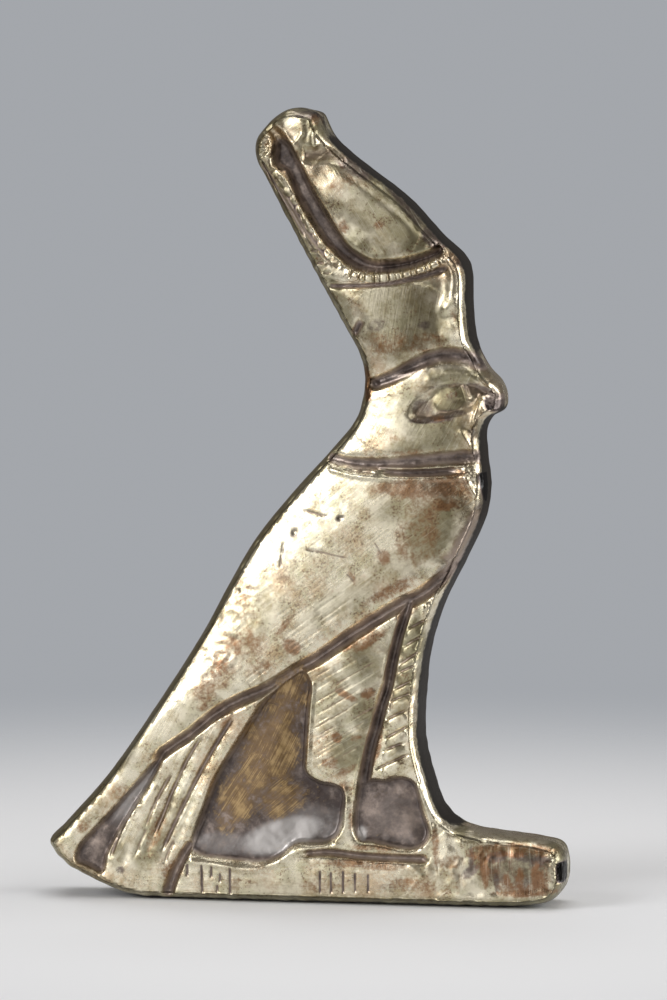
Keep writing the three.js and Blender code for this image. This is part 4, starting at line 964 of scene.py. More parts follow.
@dataclass
class Base:
    """The plain foot bar that the falcon stands on: chased strokes, crumpled front end and its tears."""

    swells: tuple[Swell, ...] = (
        Swell((-5, 1.7), (15, 2.4), (2.4, 2.7), 0.14),
        Swell((12.12, 4.98), (17.03, 5.11), (0.9, 0.9), 0.14),
    )
    strokes: tuple[tuple[Point, Point], ...] = (
        ((-8.33, 2.69), (-8.33, 1.7)), ((-7.32, 2.65), (-7.26, 0.52)), ((-6.61, 2.59), (-6.61, 1.67)), ((-6.18, 1.26), (-6.18, 0.62)),
        ((-5.97, 2.11), (-5.97, 1.34)), ((-5.25, 2.49), (-5.25, 0.5)), ((1.16, 2.45), (1.16, 0.75)), ((1.94, 2.4), (1.94, 0.77)),
        ((2.8, 2.49), (2.8, 0.8)), ((3.65, 2.37), (3.65, 0.89)), ((4.57, 2.32), (4.57, 0.91)),
    )
    folds: tuple[Ridge, ...] = (
        Ridge([(9.65, 6.75), (10.64, 6.07), (11.77, 5.61), (12.75, 5.63)], 0.3, -0.3),
        Ridge([(12.82, 5.77), (13.87, 5.52), (15, 5.48), (16.12, 5.58)], 0.3, -0.28),
        Ridge([(10.5, 6.35), (10.92, 5.52), (11.2, 4.96)], 0.3, 0.14),
        Ridge([(12.68, 5.91), (12.89, 5.43), (12.75, 4.86)], 0.22, 0.14),
        Ridge([(11.06, 4.61), (12.05, 4.77), (12.96, 5.01)], 0.33, 0.15),
        Ridge([(13.88, 4.75), (14.93, 4.85), (16.12, 5.02)], 0.25, 0.14),
        Ridge([(12.97, 3.67), (13.88, 3.77), (14.44, 4.06)], 0.33, -0.12),
        Ridge([(11.21, 2.29), (11.77, 2.73), (12.47, 3.17)], 0.35, -0.06),
        Ridge([(12.19, 2.32), (12.4, 2.89), (12.33, 3.59)], 0.3, 0.05),
        Ridge([(13.67, 2.78), (13.81, 1.94), (13.53, 1.16)], 0.2, -0.09),
        Ridge([(15.85, 2.98), (16.55, 3.42), (17.18, 3.85)], 0.3, -0.05),
        Ridge([(10.08, 4.65), (10.22, 3.67), (10.08, 2.82)], 0.62, 0.11),
        Ridge([(9.66, 2.81), (10.5, 3.12), (11.21, 3.56)], 0.38, -0.11),
        Ridge([(10.51, 1.71), (11.21, 1.31), (11.77, 1.88)], 0.38, 0.09),
        Ridge([(9.66, 0.84), (12.48, 0.78), (15.29, 0.93), (17.04, 1.18)], 0.25, 0.09),
        Ridge([(7.68, 2.76), (8.25, 2.21), (7.82, 1.5)], 0.33, 0.09),
        Ridge([(18.08, 4.3), (18.3, 3.46), (18.44, 2.48), (18.23, 1.64)], 0.18, 0.15),
        Ridge([(17.17, 5.11), (17.45, 4.56), (17.32, 3.86)], 0.2, 0.11),
    )
    # A torn hole, painted black inside as shade.
    tear: Hollow = Hollow(
        [(17.81, 3.17), (18.16, 3.39), (18.44, 2.77), (18.44, 2.06), (17.95, 1.91), (17.81, 2.47)], 0.95, 0.16, False, shoulder=0.0,
        tarnish=HOLE_TONE,
    )
    hole: Oval = Oval((17.66, 4.08), (0.28, 0.36), 0.0, -0.5, 0.8)

    def forms(self) -> list:
        """Every form of the base in pressing order."""
        strokes = [Groove([a, b], (0.0, 0.0), 0.12, 0.13, shoulder=0.0, tarnish=1.0, run_out=0.2) for a, b in self.strokes]
        marks = [
            Crumple((14.93, 2.95), (3.2, 1.6), 0.035, 1.5, 81),
            Crumple((10.36, 2.83), (1.8, 1.4), 0.035, 1.6, 82),
            Crumple((17.81, 3.45), (0.7, 1.6), 0.08, 0.6, 83),
            Crumple((12.47, 5.42), (3.4, 0.5), 0.05, 0.7, 84),
            Mark((13.67, 3.69), (0.9, 0.4), 0.2, 1.1, Tint.PLUM),
            Mark((11.84, 3.57), (0.22, 1.0), 0.0, 0.9, Tint.PLUM),
            Mark((13.67, 1.8), (0.25, 0.9), 0.1, 0.9, Tint.PLUM),
            Mark((14.37, 2.02), (0.3, 0.7), 0.1, 0.8),
            Mark((15.98, 3.68), (1.6, 0.35), -0.1, 1.0, Tint.PLUM),
            Mark((15.64, 1.22), (2.4, 0.3), 0.05, 0.9),
            Mark((13.17, 4.31), (1.6, 0.3), 0.1, 0.8),
            Mark((11.77, 2.59), (0.8, 0.4), 0.6, 0.95, Tint.PLUM),
            Mark((16.48, 3.34), (0.7, 0.4), 0.4, 0.9, Tint.PLUM),
            Mark((14.09, 2.09), (0.6, 0.7), 0.0, 0.7, Tint.PLUM),
            Mark((11.62, 5.81), (1.2, 0.35), -0.2, 1.3),
            Mark((15.28, 5.49), (1.4, 0.4), 0.0, 1.4),
            Mark((13.73, 5.73), (0.9, 0.45), -0.1, 1.4, Tint.PLUM),
            Mark((9.93, 7.04), (0.7, 0.4), -0.5, 1.3, Tint.PLUM),
            Mark((14.93, 4.15), (2.8, 0.55), 0.0, 0.85),
            Mark((14.23, 3.35), (3.6, 1.5), 0.0, 0.34),
            Mark((12.76, 2.89), (0.3, 1.6), 0.1, 0.9),
            Mark((15.29, 2.12), (0.3, 1.0), 0.0, 0.9),
            Mark((16.41, 2.43), (0.35, 1.0), 0.1, 1.0),
            Mark((15.29, 2.68), (3.0, 1.4), 0.0, 0.55, Tint.PLUM),
            Mark((15.99, 1.44), (1.8, 0.5), 0.0, 0.6, Tint.PLUM),
            Mark((12.33, 3.87), (1.0, 0.5), 0.0, 0.7),
            Mark((16.48, 1.59), (0.8, 0.5), 0.0, 0.9),
            Mark((15.57, 1.85), (0.7, 0.5), 0.0, 0.8, Tint.PLUM),
            Mark((17.04, 2.31), (0.5, 0.7), 0.0, 0.7),
            Mark((14.24, 1.53), (0.9, 0.6), 0.0, 0.6),
            Mark((10.51, 1.43), (0.9, 0.5), 0.2, 0.5),
            Mark((14.58, 3.22), (3.4, 1.6), 0.0, 0.85, Tint.OLIVE),
            Mark((10.72, 2), (2.4, 1.0), 0.0, 0.45, Tint.OLIVE),
            Mark((8.25, 2.78), (1.4, 0.8), 0.0, 0.4, Tint.OLIVE),
            Mark((-0.26, 1.42), (4.0, 0.7), 0.0, 0.35, Tint.OLIVE),
            Mark((12.76, 1.91), (0.9, 0.6), 0.0, 0.6, Tint.OLIVE),
            Mark((10.22, 2.69), (1.0, 0.5), 0.0, 0.6, Tint.OLIVE),
            Mark((5.77, 2.85), (1.8, 0.35), 0.0, 0.8),
            Mark((3.29, 3), (2.4, 0.3), 0.0, 0.75),
            Mark((9.37, 4.21), (0.3, 1.6), 0.05, 0.8),
            Mark((10.5, 3.26), (1.2, 0.5), 0.2, 0.65),
            Mark((7.19, 1.62), (1.4, 0.5), 0.0, 0.55),
            Mark((8.81, 1.38), (0.7, 0.5), 0.0, 0.6),
            Mark((1.16, 1.32), (1.8, 0.4), 0.0, 0.5),
            Mark((-4.54, 1.3), (1.4, 0.5), 0.0, 0.45),
            Mark((11.91, 4.7), (0.9, 0.5), -0.2, 0.6, Tint.OLIVE),
            Mark((5.91, 1.37), (0.9, 0.3), 0.0, 0.5, Tint.PLUM),
            Rub((-2, 1.7), (10, 1.8), 0.0, 4.0),
            Rub((14.23, 3.07), (5, 2.6), 0.0, 94.0),
        ]
        return [*self.swells, *strokes, *self.folds, self.tear, self.hole, *marks]


@dataclass(frozen=True)
class Stretch:
    """A stretch of the silhouette: its points, how wide its rim is rolled, and how dark its wall is painted as shade.
    """

    points: Path
    roll: float
    wall_shade: float


# Each stretch gives its points, its roll width, and how dark its wall is painted as shade.
SILHOUETTE: dict[str, Stretch] = {
    "tail foot": Stretch([(-8.5, 0), (-12.6, 0.2), (-15.1, 1.15), (-17.4, 2.4)], 0.6, 0.7),
    "tail tip": Stretch([(-18.45, 3.9), (-17.35, 5.2)], 1.0, 0.55),
    "wing tip": Stretch([(-14.35, 8.6), (-10.7, 13.8)], 1.1, 0.5),
    "back": Stretch([(-7.45, 18.9), (-5.55, 22.4), (-3.65, 25.6), (-0.8, 29.1), (1.7, 31.85)], 5.2, 0.35),
    "nape": Stretch([(3.4, 33.95), (3.9, 35.4), (4.05, 36.8), (3.75, 38.4), (2.85, 40.1)], 3.2, 0.5),
    "crown rear": Stretch([(1.55, 42.5), (-0.7, 46.65), (-2.75, 50.5)], 0.9, 0.6),
    "knob": Stretch(
        [(-3.55, 52.2), (-3.55, 53.35), (-2.65, 54.6), (-1.7, 55.35), (-0.9, 55.6), (0, 55.45), (0.75, 55.2),
         (1.35, 54)],
        0.5, 0.6,
    ),
    "crown front": Stretch(
        [(2.15, 53.05), (3.8, 51.7), (6.85, 49.4), (9.35, 46.75)], 1.3, 1.0),
    "forehead": Stretch([(10.9, 45.25), (11.3, 44.2), (11.35, 42.2), (11.7, 39.4)], 0.55, 1.0),
    "beak": Stretch([(12.6, 37.65), (13.45, 36.7), (13.85, 35.6)], 2.6, 0.0),
    "bill": Stretch([(13.65, 34.7), (12.85, 34.2), (12.35, 33.2)], 0.8, 1.0),
    "breast": Stretch([(12.45, 31.4), (12.65, 29.3), (12.35, 27.25), (10.9, 24), (9.55, 21.3), (8.5, 18)], 0.7, 1.0),
    "shin": Stretch([(8.1, 14.7), (8.05, 11.5), (8.65, 8.9), (9.45, 6.8), (10.3, 5.9)], 0.5, 1.0),
    "base top": Stretch([(11.8, 5.35), (13.9, 5.05), (16.4, 4.75)], 1.5, 0.05),
    "base end": Stretch(
        [(17.85, 4.3), (18.3, 2.9), (18.05, 1.3), (17.3, 0.5), (15.6, 0.1),
         (13, 0)],
        0.7, 0.5,
    ),
}


@dataclass
class FalconSheet:
    """The whole figure: front cap, rolled rims, side wall and back cap as one closed skin."""

    crown: Crown = field(default_factory=Crown)
    head: Head = field(default_factory=Head)
    wing: Wing = field(default_factory=Wing)
    tail: Tail = field(default_factory=Tail)
    legs: Legs = field(default_factory=Legs)
    base: Base = field(default_factory=Base)
    plateau: float = 1.15
    tallest: float = 1.55
    back_strength: float = 0.6
    wall_half: float = 0.7
    edge: tuple[float, float, float] = (0.62, 0.32, 0.8)
    wobble: tuple[float, float] = (1.3, 0.3)
    rim: float = 0.5
    rim_rows: int = 7
    # Reach of the wall's painted shade onto the rim.
    wall_shade_reach: float = 0.26
    # Reach of the olive painted shade beside the silhouette.
    rim_shade_reach: float = 0.95
    wall_rows: int = 4
    outline_step: float = 0.15
    pitches: tuple[float, float, float] = (0.2, 0.115, 0.075)
    busy_bends: tuple[float, float] = (0.5, 2.5)
    back_pitch: float = 0.3
    dents: tuple[Point, Point] = ((2.4, 0.012), (0.85, 0.006))

    def outline(self) -> tuple[Array, Array, Array]:
        """The silhouette at an even spacing, with the rim's roll and soil at each point.

        Returns:
            Points of shape (n, 2), clockwise seen from the front, n roll widths and n soil shares.
        """
        stretches = SILHOUETTE.values()
        points = [p for stretch in stretches for p in stretch.points]
        marks = np.array([(stretch.roll, stretch.wall_shade) for stretch in stretches for _ in stretch.points])
        path = spline(points, step=self.outline_step)
        gap = int(np.linalg.norm(path[-1] - path[0]) / self.outline_step)
        under = np.linspace(path[-1], path[0], gap + 1)[1:-1]
        path = np.vstack([path, under])
        knots = np.array([np.argmin(np.linalg.norm(path - p, axis=1)) for p in points])
        order = np.argsort(knots)
        kernel = np.hanning(13) / np.hanning(13).sum()
        smooth = []
        for column in marks.T:
            values = np.interp(np.arange(len(path)), knots[order], column[order], period=len(path))
            smooth.append(np.convolve(np.concatenate([values[-6:], values, values[:6]]), kernel, mode="valid"))
        return path, smooth[0], smooth[1]

    @staticmethod
    def inward(path: Array) -> Array:
        """Unit normals that point into a clockwise closed path."""
        along = np.roll(path, -1, axis=0) - np.roll(path, 1, axis=0)
        along /= np.linalg.norm(along, axis=1)[:, None]
        return np.stack([along[:, 1], -along[:, 0]], axis=1)

    def press(self, side: Side, x: Array, z: Array) -> Field:
        """Press every form into one face.

        Args:
            side: Which face. The back takes only the main forms, less strongly.
            x: Places across.
            z: Places up.

        Returns:
            The sums of all forms.
        """
        f = Field(x, z)
        for part in (self.crown, self.head, self.wing, self.tail, self.legs, self.base):
            for form in part.forms():
                if side is Side.FRONT or getattr(form, "back", True):
                    form.press(f)
        return f

    def height(self, side: Side, f: Field, gap: Array, width: Array, wall_shade: Array) -> Array:
        """Height of one face over the wall's edge.

        The rim rolls up as a quarter ellipse to the plateau, with a tight one at the edge. Lifts and cuts fade in over
        the rim. Small dents from the pressing are waves of two lengths.

        Args:
            side: Which face.
            f: The pressed forms.
            gap: Distance to the silhouette.
            width: Width of the rim's roll.
            wall_shade: How dark the wall is painted as shade, which also makes the tight roll narrower.

        Returns:
            Heights in millimetres.
        """
        strength = 1.0 if side is Side.FRONT else self.back_strength
        length, swing = self.wobble
        crushed = 1.0 + swing * np.clip(ripple(f.x, f.z, length, 17), -1.6, 1.6)
        share = 1.0 - np.clip(gap / width, 0.0, 1.0)
        roll = self.plateau * np.sqrt(1.0 - share**2)
        wide, less, tall = self.edge
        tight = tall * np.sqrt(1.0 - (1.0 - np.clip(gap / (wide - less * wall_shade) / crushed, 0.0, 1.0)) ** 2)
        uneven = sum(tall * ripple(f.x, f.z, long, 11 + k) for k, (long, tall) in enumerate(self.dents))
        pressed = strength * (f.lift - f.fall - f.depth()) + uneven
        height = roll + ease(gap / self.rim) * pressed
        over = np.maximum(height - self.tallest + 0.1, 0.0)
        return tight + np.minimum(height, self.tallest - 0.1) + 0.1 * np.tanh(over / 0.1)

    def dull(self, f: Field, gap: Array, wall_shade: Array) -> None:
        """Add olive beside the silhouette as painted shade of the rim that rolls away from the lights, from 1 at the
        edge to 0 at its reach, but not where the wall is painted darkest or its painted shade is near nothing.
        """
        patina = ease(1.25 - gap / self.rim_shade_reach) * ease((0.9 - wall_shade) / 0.3) * ease(wall_shade / 0.4)
        f.tints[Tint.OLIVE] = np.maximum(f.tints[Tint.OLIVE], patina)

    @staticmethod
    def lattice(path: Array, pitch: float) -> tuple[Array, Array]:
        """Hexagonal lattice of places over the figure's box."""
        low, high = path.min(axis=0), path.max(axis=0)
        rows = np.arange(low[1], high[1], pitch * math.sqrt(3) / 2)
        columns = np.arange(low[0], high[0], pitch)
        x = columns[None, :] + (np.arange(len(rows)) % 2)[:, None] * pitch / 2
        z = np.repeat(rows[:, None], len(columns), axis=1)
        return x.ravel(), z.ravel()

    def level(self, x: Array, z: Array) -> Array:
        """How finely the front is meshed: 0, 1 or 2 by how sharply the pressed forms bend across or up."""
        step = 0.06
        places = [self.press(Side.FRONT, x + a, z + b) for a, b in ((0, 0), (step, 0), (-step, 0), (0, step), (0, -step))]
        middle, right, left, above, below = (f.lift - f.depth() for f in places)
        bend = np.maximum(np.abs(right + left - 2 * middle), np.abs(above + below - 2 * middle)) / step**2
        return (bend > self.busy_bends[0]).astype(int) + (bend > self.busy_bends[1]).astype(int)

    def interior(self, side: Side, path: Array) -> tuple[Array, Array, Array, Array]:
        """Places inside the rim ring: a coarse lattice, and finer ones where the face turns quickly.

        Args:
            side: Which face.
            path: The silhouette.

        Returns:
            X, Z, distance to the silhouette, and index of its nearest point.
        """
        parts = []
        for level, pitch in enumerate(self.pitches if side is Side.FRONT else (self.back_pitch,)):
            x, z = self.lattice(path, pitch)
            keep = inside(path[::3], x, z)
            x, z = x[keep], z[keep]
            if side is Side.FRONT:
                keep = self.level(x, z) == level
                x, z = x[keep], z[keep]
            gap, along = nearest(path[::2], x, z, closed=True)
            keep = gap > self.rim + pitch * 0.55
            parts.append((x[keep], z[keep], gap[keep], along[keep]))
            logging.info("%s places %.3f mm apart: %d", side.name.lower(), pitch, keep.sum())
        x, z, gap, along = (np.concatenate(column) for column in zip(*parts))
        return x, z, gap, (along * len(path)).astype(int) % len(path)

    def build(self, low: Array, high: Array) -> bpy.types.Object:
        """Make the skin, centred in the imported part's box.

        Rows of the rim and the wall are rings of the silhouette. Each cap is a Delaunay net of the places
        inside the innermost ring.

        Args:
            low: Lowest corner of the box, in millimetres.
            high: Highest corner of the box.

        Returns:
            The mesh object, in metres at the origin.
        """
        path, rolls, wall_shades = self.outline()
        inward = self.inward(path)
        count = len(path)
        insets = self.rim * np.linspace(1.0, 0.0, self.rim_rows + 1) ** 2
        rows: dict[Side, list[Array]] = {Side.FRONT: [], Side.BACK: []}
        tones: dict[Side, list[Array]] = {Side.FRONT: [], Side.BACK: []}
        for side in Side:
            for inset in insets:
                at = path + inward * inset
                f = self.press(side, at[:, 0], at[:, 1])
                y = side.value * (self.wall_half + self.height(side, f, np.full(count, inset), rolls, wall_shades))
                rows[side].append(np.stack([at[:, 0], y, at[:, 1]], axis=1))
                # Painted shade of the side wall, running a little way onto the rim.
                wall = wall_shades * ease(1.0 - inset / self.wall_shade_reach)
                # Olive painted shade on the rolled rim.
                self.dull(f, np.full(count, inset), wall_shades)
                tones[side].append(np.stack([f.tarnish, *f.tints.values(), f.gild, f.grain, wall], axis=1))
        rings, marks = rows[Side.FRONT], tones[Side.FRONT]
        for share in np.linspace(0.0, 1.0, self.wall_rows + 2)[1:-1]:
            y = np.full(count, self.wall_half * (2 * share - 1))
            rings.append(np.stack([path[:, 0], y, path[:, 1]], axis=1))
            # The wall rows carry the full painted shade of their stretch.
            marks.append(np.hstack([np.zeros((count, 3 + len(Tint))), wall_shades[:, None]]))
        rings += rows[Side.BACK][::-1]
        marks += tones[Side.BACK][::-1]
        shell, tone = np.concatenate(rings), np.concatenate(marks)
        faces = self.band_faces(count, len(rings))
        for side, ring in ((Side.FRONT, 0), (Side.BACK, len(rings) - 1)):
            x, z, gap, index = self.interior(side, path)
            f = self.press(side, x, z)
            y = side.value * (self.wall_half + self.height(side, f, gap, rolls[index], wall_shades[index]))
            lookup = np.concatenate([np.arange(count) + ring * count, len(shell) + np.arange(len(x))])
            cap = lookup[self.net(path + inward * self.rim, x, z)]
            faces.append(cap if side is Side.FRONT else cap[:, ::-1])
            shell = np.vstack([shell, np.stack([x, y, z], axis=1)])
            # Painted shade of the side wall near the silhouette.
            wall = wall_shades[index] * ease(1.0 - gap / self.wall_shade_reach)
            # Olive painted shade on the rolled rim.
            self.dull(f, gap, wall_shades[index])
            tone = np.vstack([tone, np.stack([f.tarnish, *f.tints.values(), f.gild, f.grain, wall], axis=1)])
        shell[:, 0] += (low[0] + high[0] - path[:, 0].min() - path[:, 0].max()) / 2
        shell[:, 1] += low[1] - min(shell[:, 1].min(), low[1])
        return self.to_object(np.clip(shell, low, high), np.vstack(faces), tone)

    @staticmethod
    def band_faces(count: int, rows: int) -> list[Array]:
        """Triangles between neighbouring rings of the rim and the wall, facing outwards."""
        a = np.arange(count)
        b = (a + 1) % count
        parts = []
        for k in range(rows - 1):
            i, j, m, n = a + k * count, b + k * count, a + (k + 1) * count, b + (k + 1) * count
            parts.append(np.concatenate([np.stack([i, m, j], axis=1), np.stack([j, m, n], axis=1)]))
        return parts

    @staticmethod
    def net(border: Array, x: Array, z: Array) -> Array:
        """Triangles of a Delaunay net inside a closed border, anticlockwise seen from the front."""
        points = np.vstack([border, np.stack([x, z], axis=1)])
        edges = [(i, (i + 1) % len(border)) for i in range(len(border))]
        _, _, triangles, sources, _, _ = delaunay_2d_cdt([Vector(p) for p in points], edges, [], 1, 1e-7)
        origin = np.array([s[0] for s in sources])
        return origin[np.array(triangles)]

    @staticmethod
    def to_object(points: Array, faces: Array, tone: Array) -> bpy.types.Object:
        """Put points in millimetres and triangles into a smooth mesh with its attributes.

        The grain attribute holds each place along and across its scratches, so that a pattern on it
        follows their heading.

        Args:
            points: Places in millimetres.
            faces: Triangles.
            tone: Tarnish, the tints, gild, heading of the grain, and share of the wall's painted shade at each place.

        Returns:
            The mesh object.
        """
        mesh = bpy.data.meshes.new("falcon_sheet")
        mesh.from_pydata((points * MM).tolist(), [], faces.tolist())
        names = ["tarnish", *(tint.value for tint in Tint), "gild", "heading", "wall"]
        for name, column in zip(names, tone.T):
            values = column.astype(np.float32)
            mesh.attributes.new(name, "FLOAT", "POINT").data.foreach_set("value", values)
        heading = tone[:, names.index("heading")]
        cos, sin = np.cos(heading), np.sin(heading)
        along = points[:, 0] * cos + points[:, 2] * sin
        across = points[:, 2] * cos - points[:, 0] * sin
        grain = np.stack([along, across, points[:, 1]], axis=1).astype(np.float32)
        mesh.attributes.new("grain", "FLOAT_VECTOR", "POINT").data.foreach_set("vector", grain.ravel())
        mesh.shade_smooth()
        mesh.update()
        sheet = bpy.data.objects.new("falcon_sheet", mesh)
        bpy.context.collection.objects.link(sheet)
        return sheet


# Finishes


class Nodes:
    """Short ways to add and join shader nodes in one material."""

    def __init__(self, name: str) -> None:
        """Start an empty material with an output and a shader."""
        self.material = bpy.data.materials.new(name)
        self.material.use_nodes = True
        self.tree = self.material.node_tree
        self.tree.nodes.clear()
        self.output = self.tree.nodes.new("ShaderNodeOutputMaterial")
        self.shader = self.tree.nodes.new("ShaderNodeBsdfPrincipled")
        self.join(self.shader.outputs["BSDF"], self.output.inputs["Surface"])

    def add(self, kind: str, **settings: object) -> bpy.types.Node:
        """Add a node and set its properties."""
        node = self.tree.nodes.new(kind)
        for key, value in settings.items():
            setattr(node, key, value)
        return node

    def join(self, source: bpy.types.NodeSocket, target: bpy.types.NodeSocket) -> None:
        """Link two sockets."""
        self.tree.links.new(source, target)

    def feed(self, target: bpy.types.NodeSocket, value: object) -> None:
        """Link a socket, or set a plain value on it."""
        if isinstance(value, bpy.types.NodeSocket):
            self.join(value, target)
        else:
            target.default_value = value

    def attribute(self, name: str, output: str = "Fac") -> bpy.types.NodeSocket:
        """Read a mesh attribute."""
        return self.add("ShaderNodeAttribute", attribute_name=name).outputs[output]

    def math(self, operation: str, a: object, b: object = 0.0, clamp: bool = False) -> bpy.types.NodeSocket:
        """One arithmetic step."""
        node = self.add("ShaderNodeMath", operation=operation, use_clamp=clamp)
        self.feed(node.inputs[0], a)
        self.feed(node.inputs[1], b)
        return node.outputs[0]

    def times(self, a: object, b: object) -> bpy.types.NodeSocket:
        """Product of two values."""
        return self.math("MULTIPLY", a, b)

    def plus(self, a: object, b: object) -> bpy.types.NodeSocket:
        """Sum of two values."""
        return self.math("ADD", a, b)

    def most(self, a: object, b: object) -> bpy.types.NodeSocket:
        """The larger of two values."""
        return self.math("MAXIMUM", a, b)

    def ramp(self, value: object, low: float, high: float) -> bpy.types.NodeSocket:
        """Smooth step of a value from low to high."""
        node = self.add("ShaderNodeMapRange", interpolation_type="SMOOTHSTEP")
        self.feed(node.inputs["Value"], value)
        node.inputs["From Min"].default_value = low
        node.inputs["From Max"].default_value = high
        return node.outputs["Result"]

    def spread(self, value: object, low: float, high: float) -> bpy.types.NodeSocket:
        """A value from 0..1 taken to low..high."""
        node = self.add("ShaderNodeMapRange")
        self.feed(node.inputs["Value"], value)
        node.inputs["To Min"].default_value = low
        node.inputs["To Max"].default_value = high
        return node.outputs["Result"]

    def noise(self, vector: object, scale: float, detail: float = 2.0, rough: float = 0.5) -> bpy.types.NodeSocket:
        """Noise of a given scale, from 0 to 1."""
        node = self.add("ShaderNodeTexNoise")
        self.feed(node.inputs["Vector"], vector)
        node.inputs["Scale"].default_value = scale
        node.inputs["Detail"].default_value = detail
        node.inputs["Roughness"].default_value = rough
        return node.outputs["Fac"]

    def mapped(self, vector: object, scale: tuple, offset: tuple = (0.0, 0.0, 0.0)) -> bpy.types.NodeSocket:
        """Coordinates scaled and moved."""
        node = self.add("ShaderNodeMapping")
        self.feed(node.inputs["Vector"], vector)
        node.inputs["Location"].default_value = offset
        node.inputs["Scale"].default_value = scale
        return node.outputs["Vector"]

    def mix(self, share: object, a: object, b: object) -> bpy.types.NodeSocket:
        """Mix two colours."""
        node = self.add("ShaderNodeMix", data_type="RGBA")
        self.feed(node.inputs["Factor"], share)
        self.feed(node.inputs[6], a)
        self.feed(node.inputs[7], b)
        return node.outputs[2]

    def bump(self, height: object, strength: float, distance: float, normal: object = None) -> bpy.types.NodeSocket:
        """Bump a normal by a height."""
        node = self.add("ShaderNodeBump")
        node.inputs["Strength"].default_value = strength
        node.inputs["Distance"].default_value = distance
        self.feed(node.inputs["Height"], height)
        if normal is not None:
            self.join(normal, node.inputs["Normal"])
        return node.outputs["Normal"]


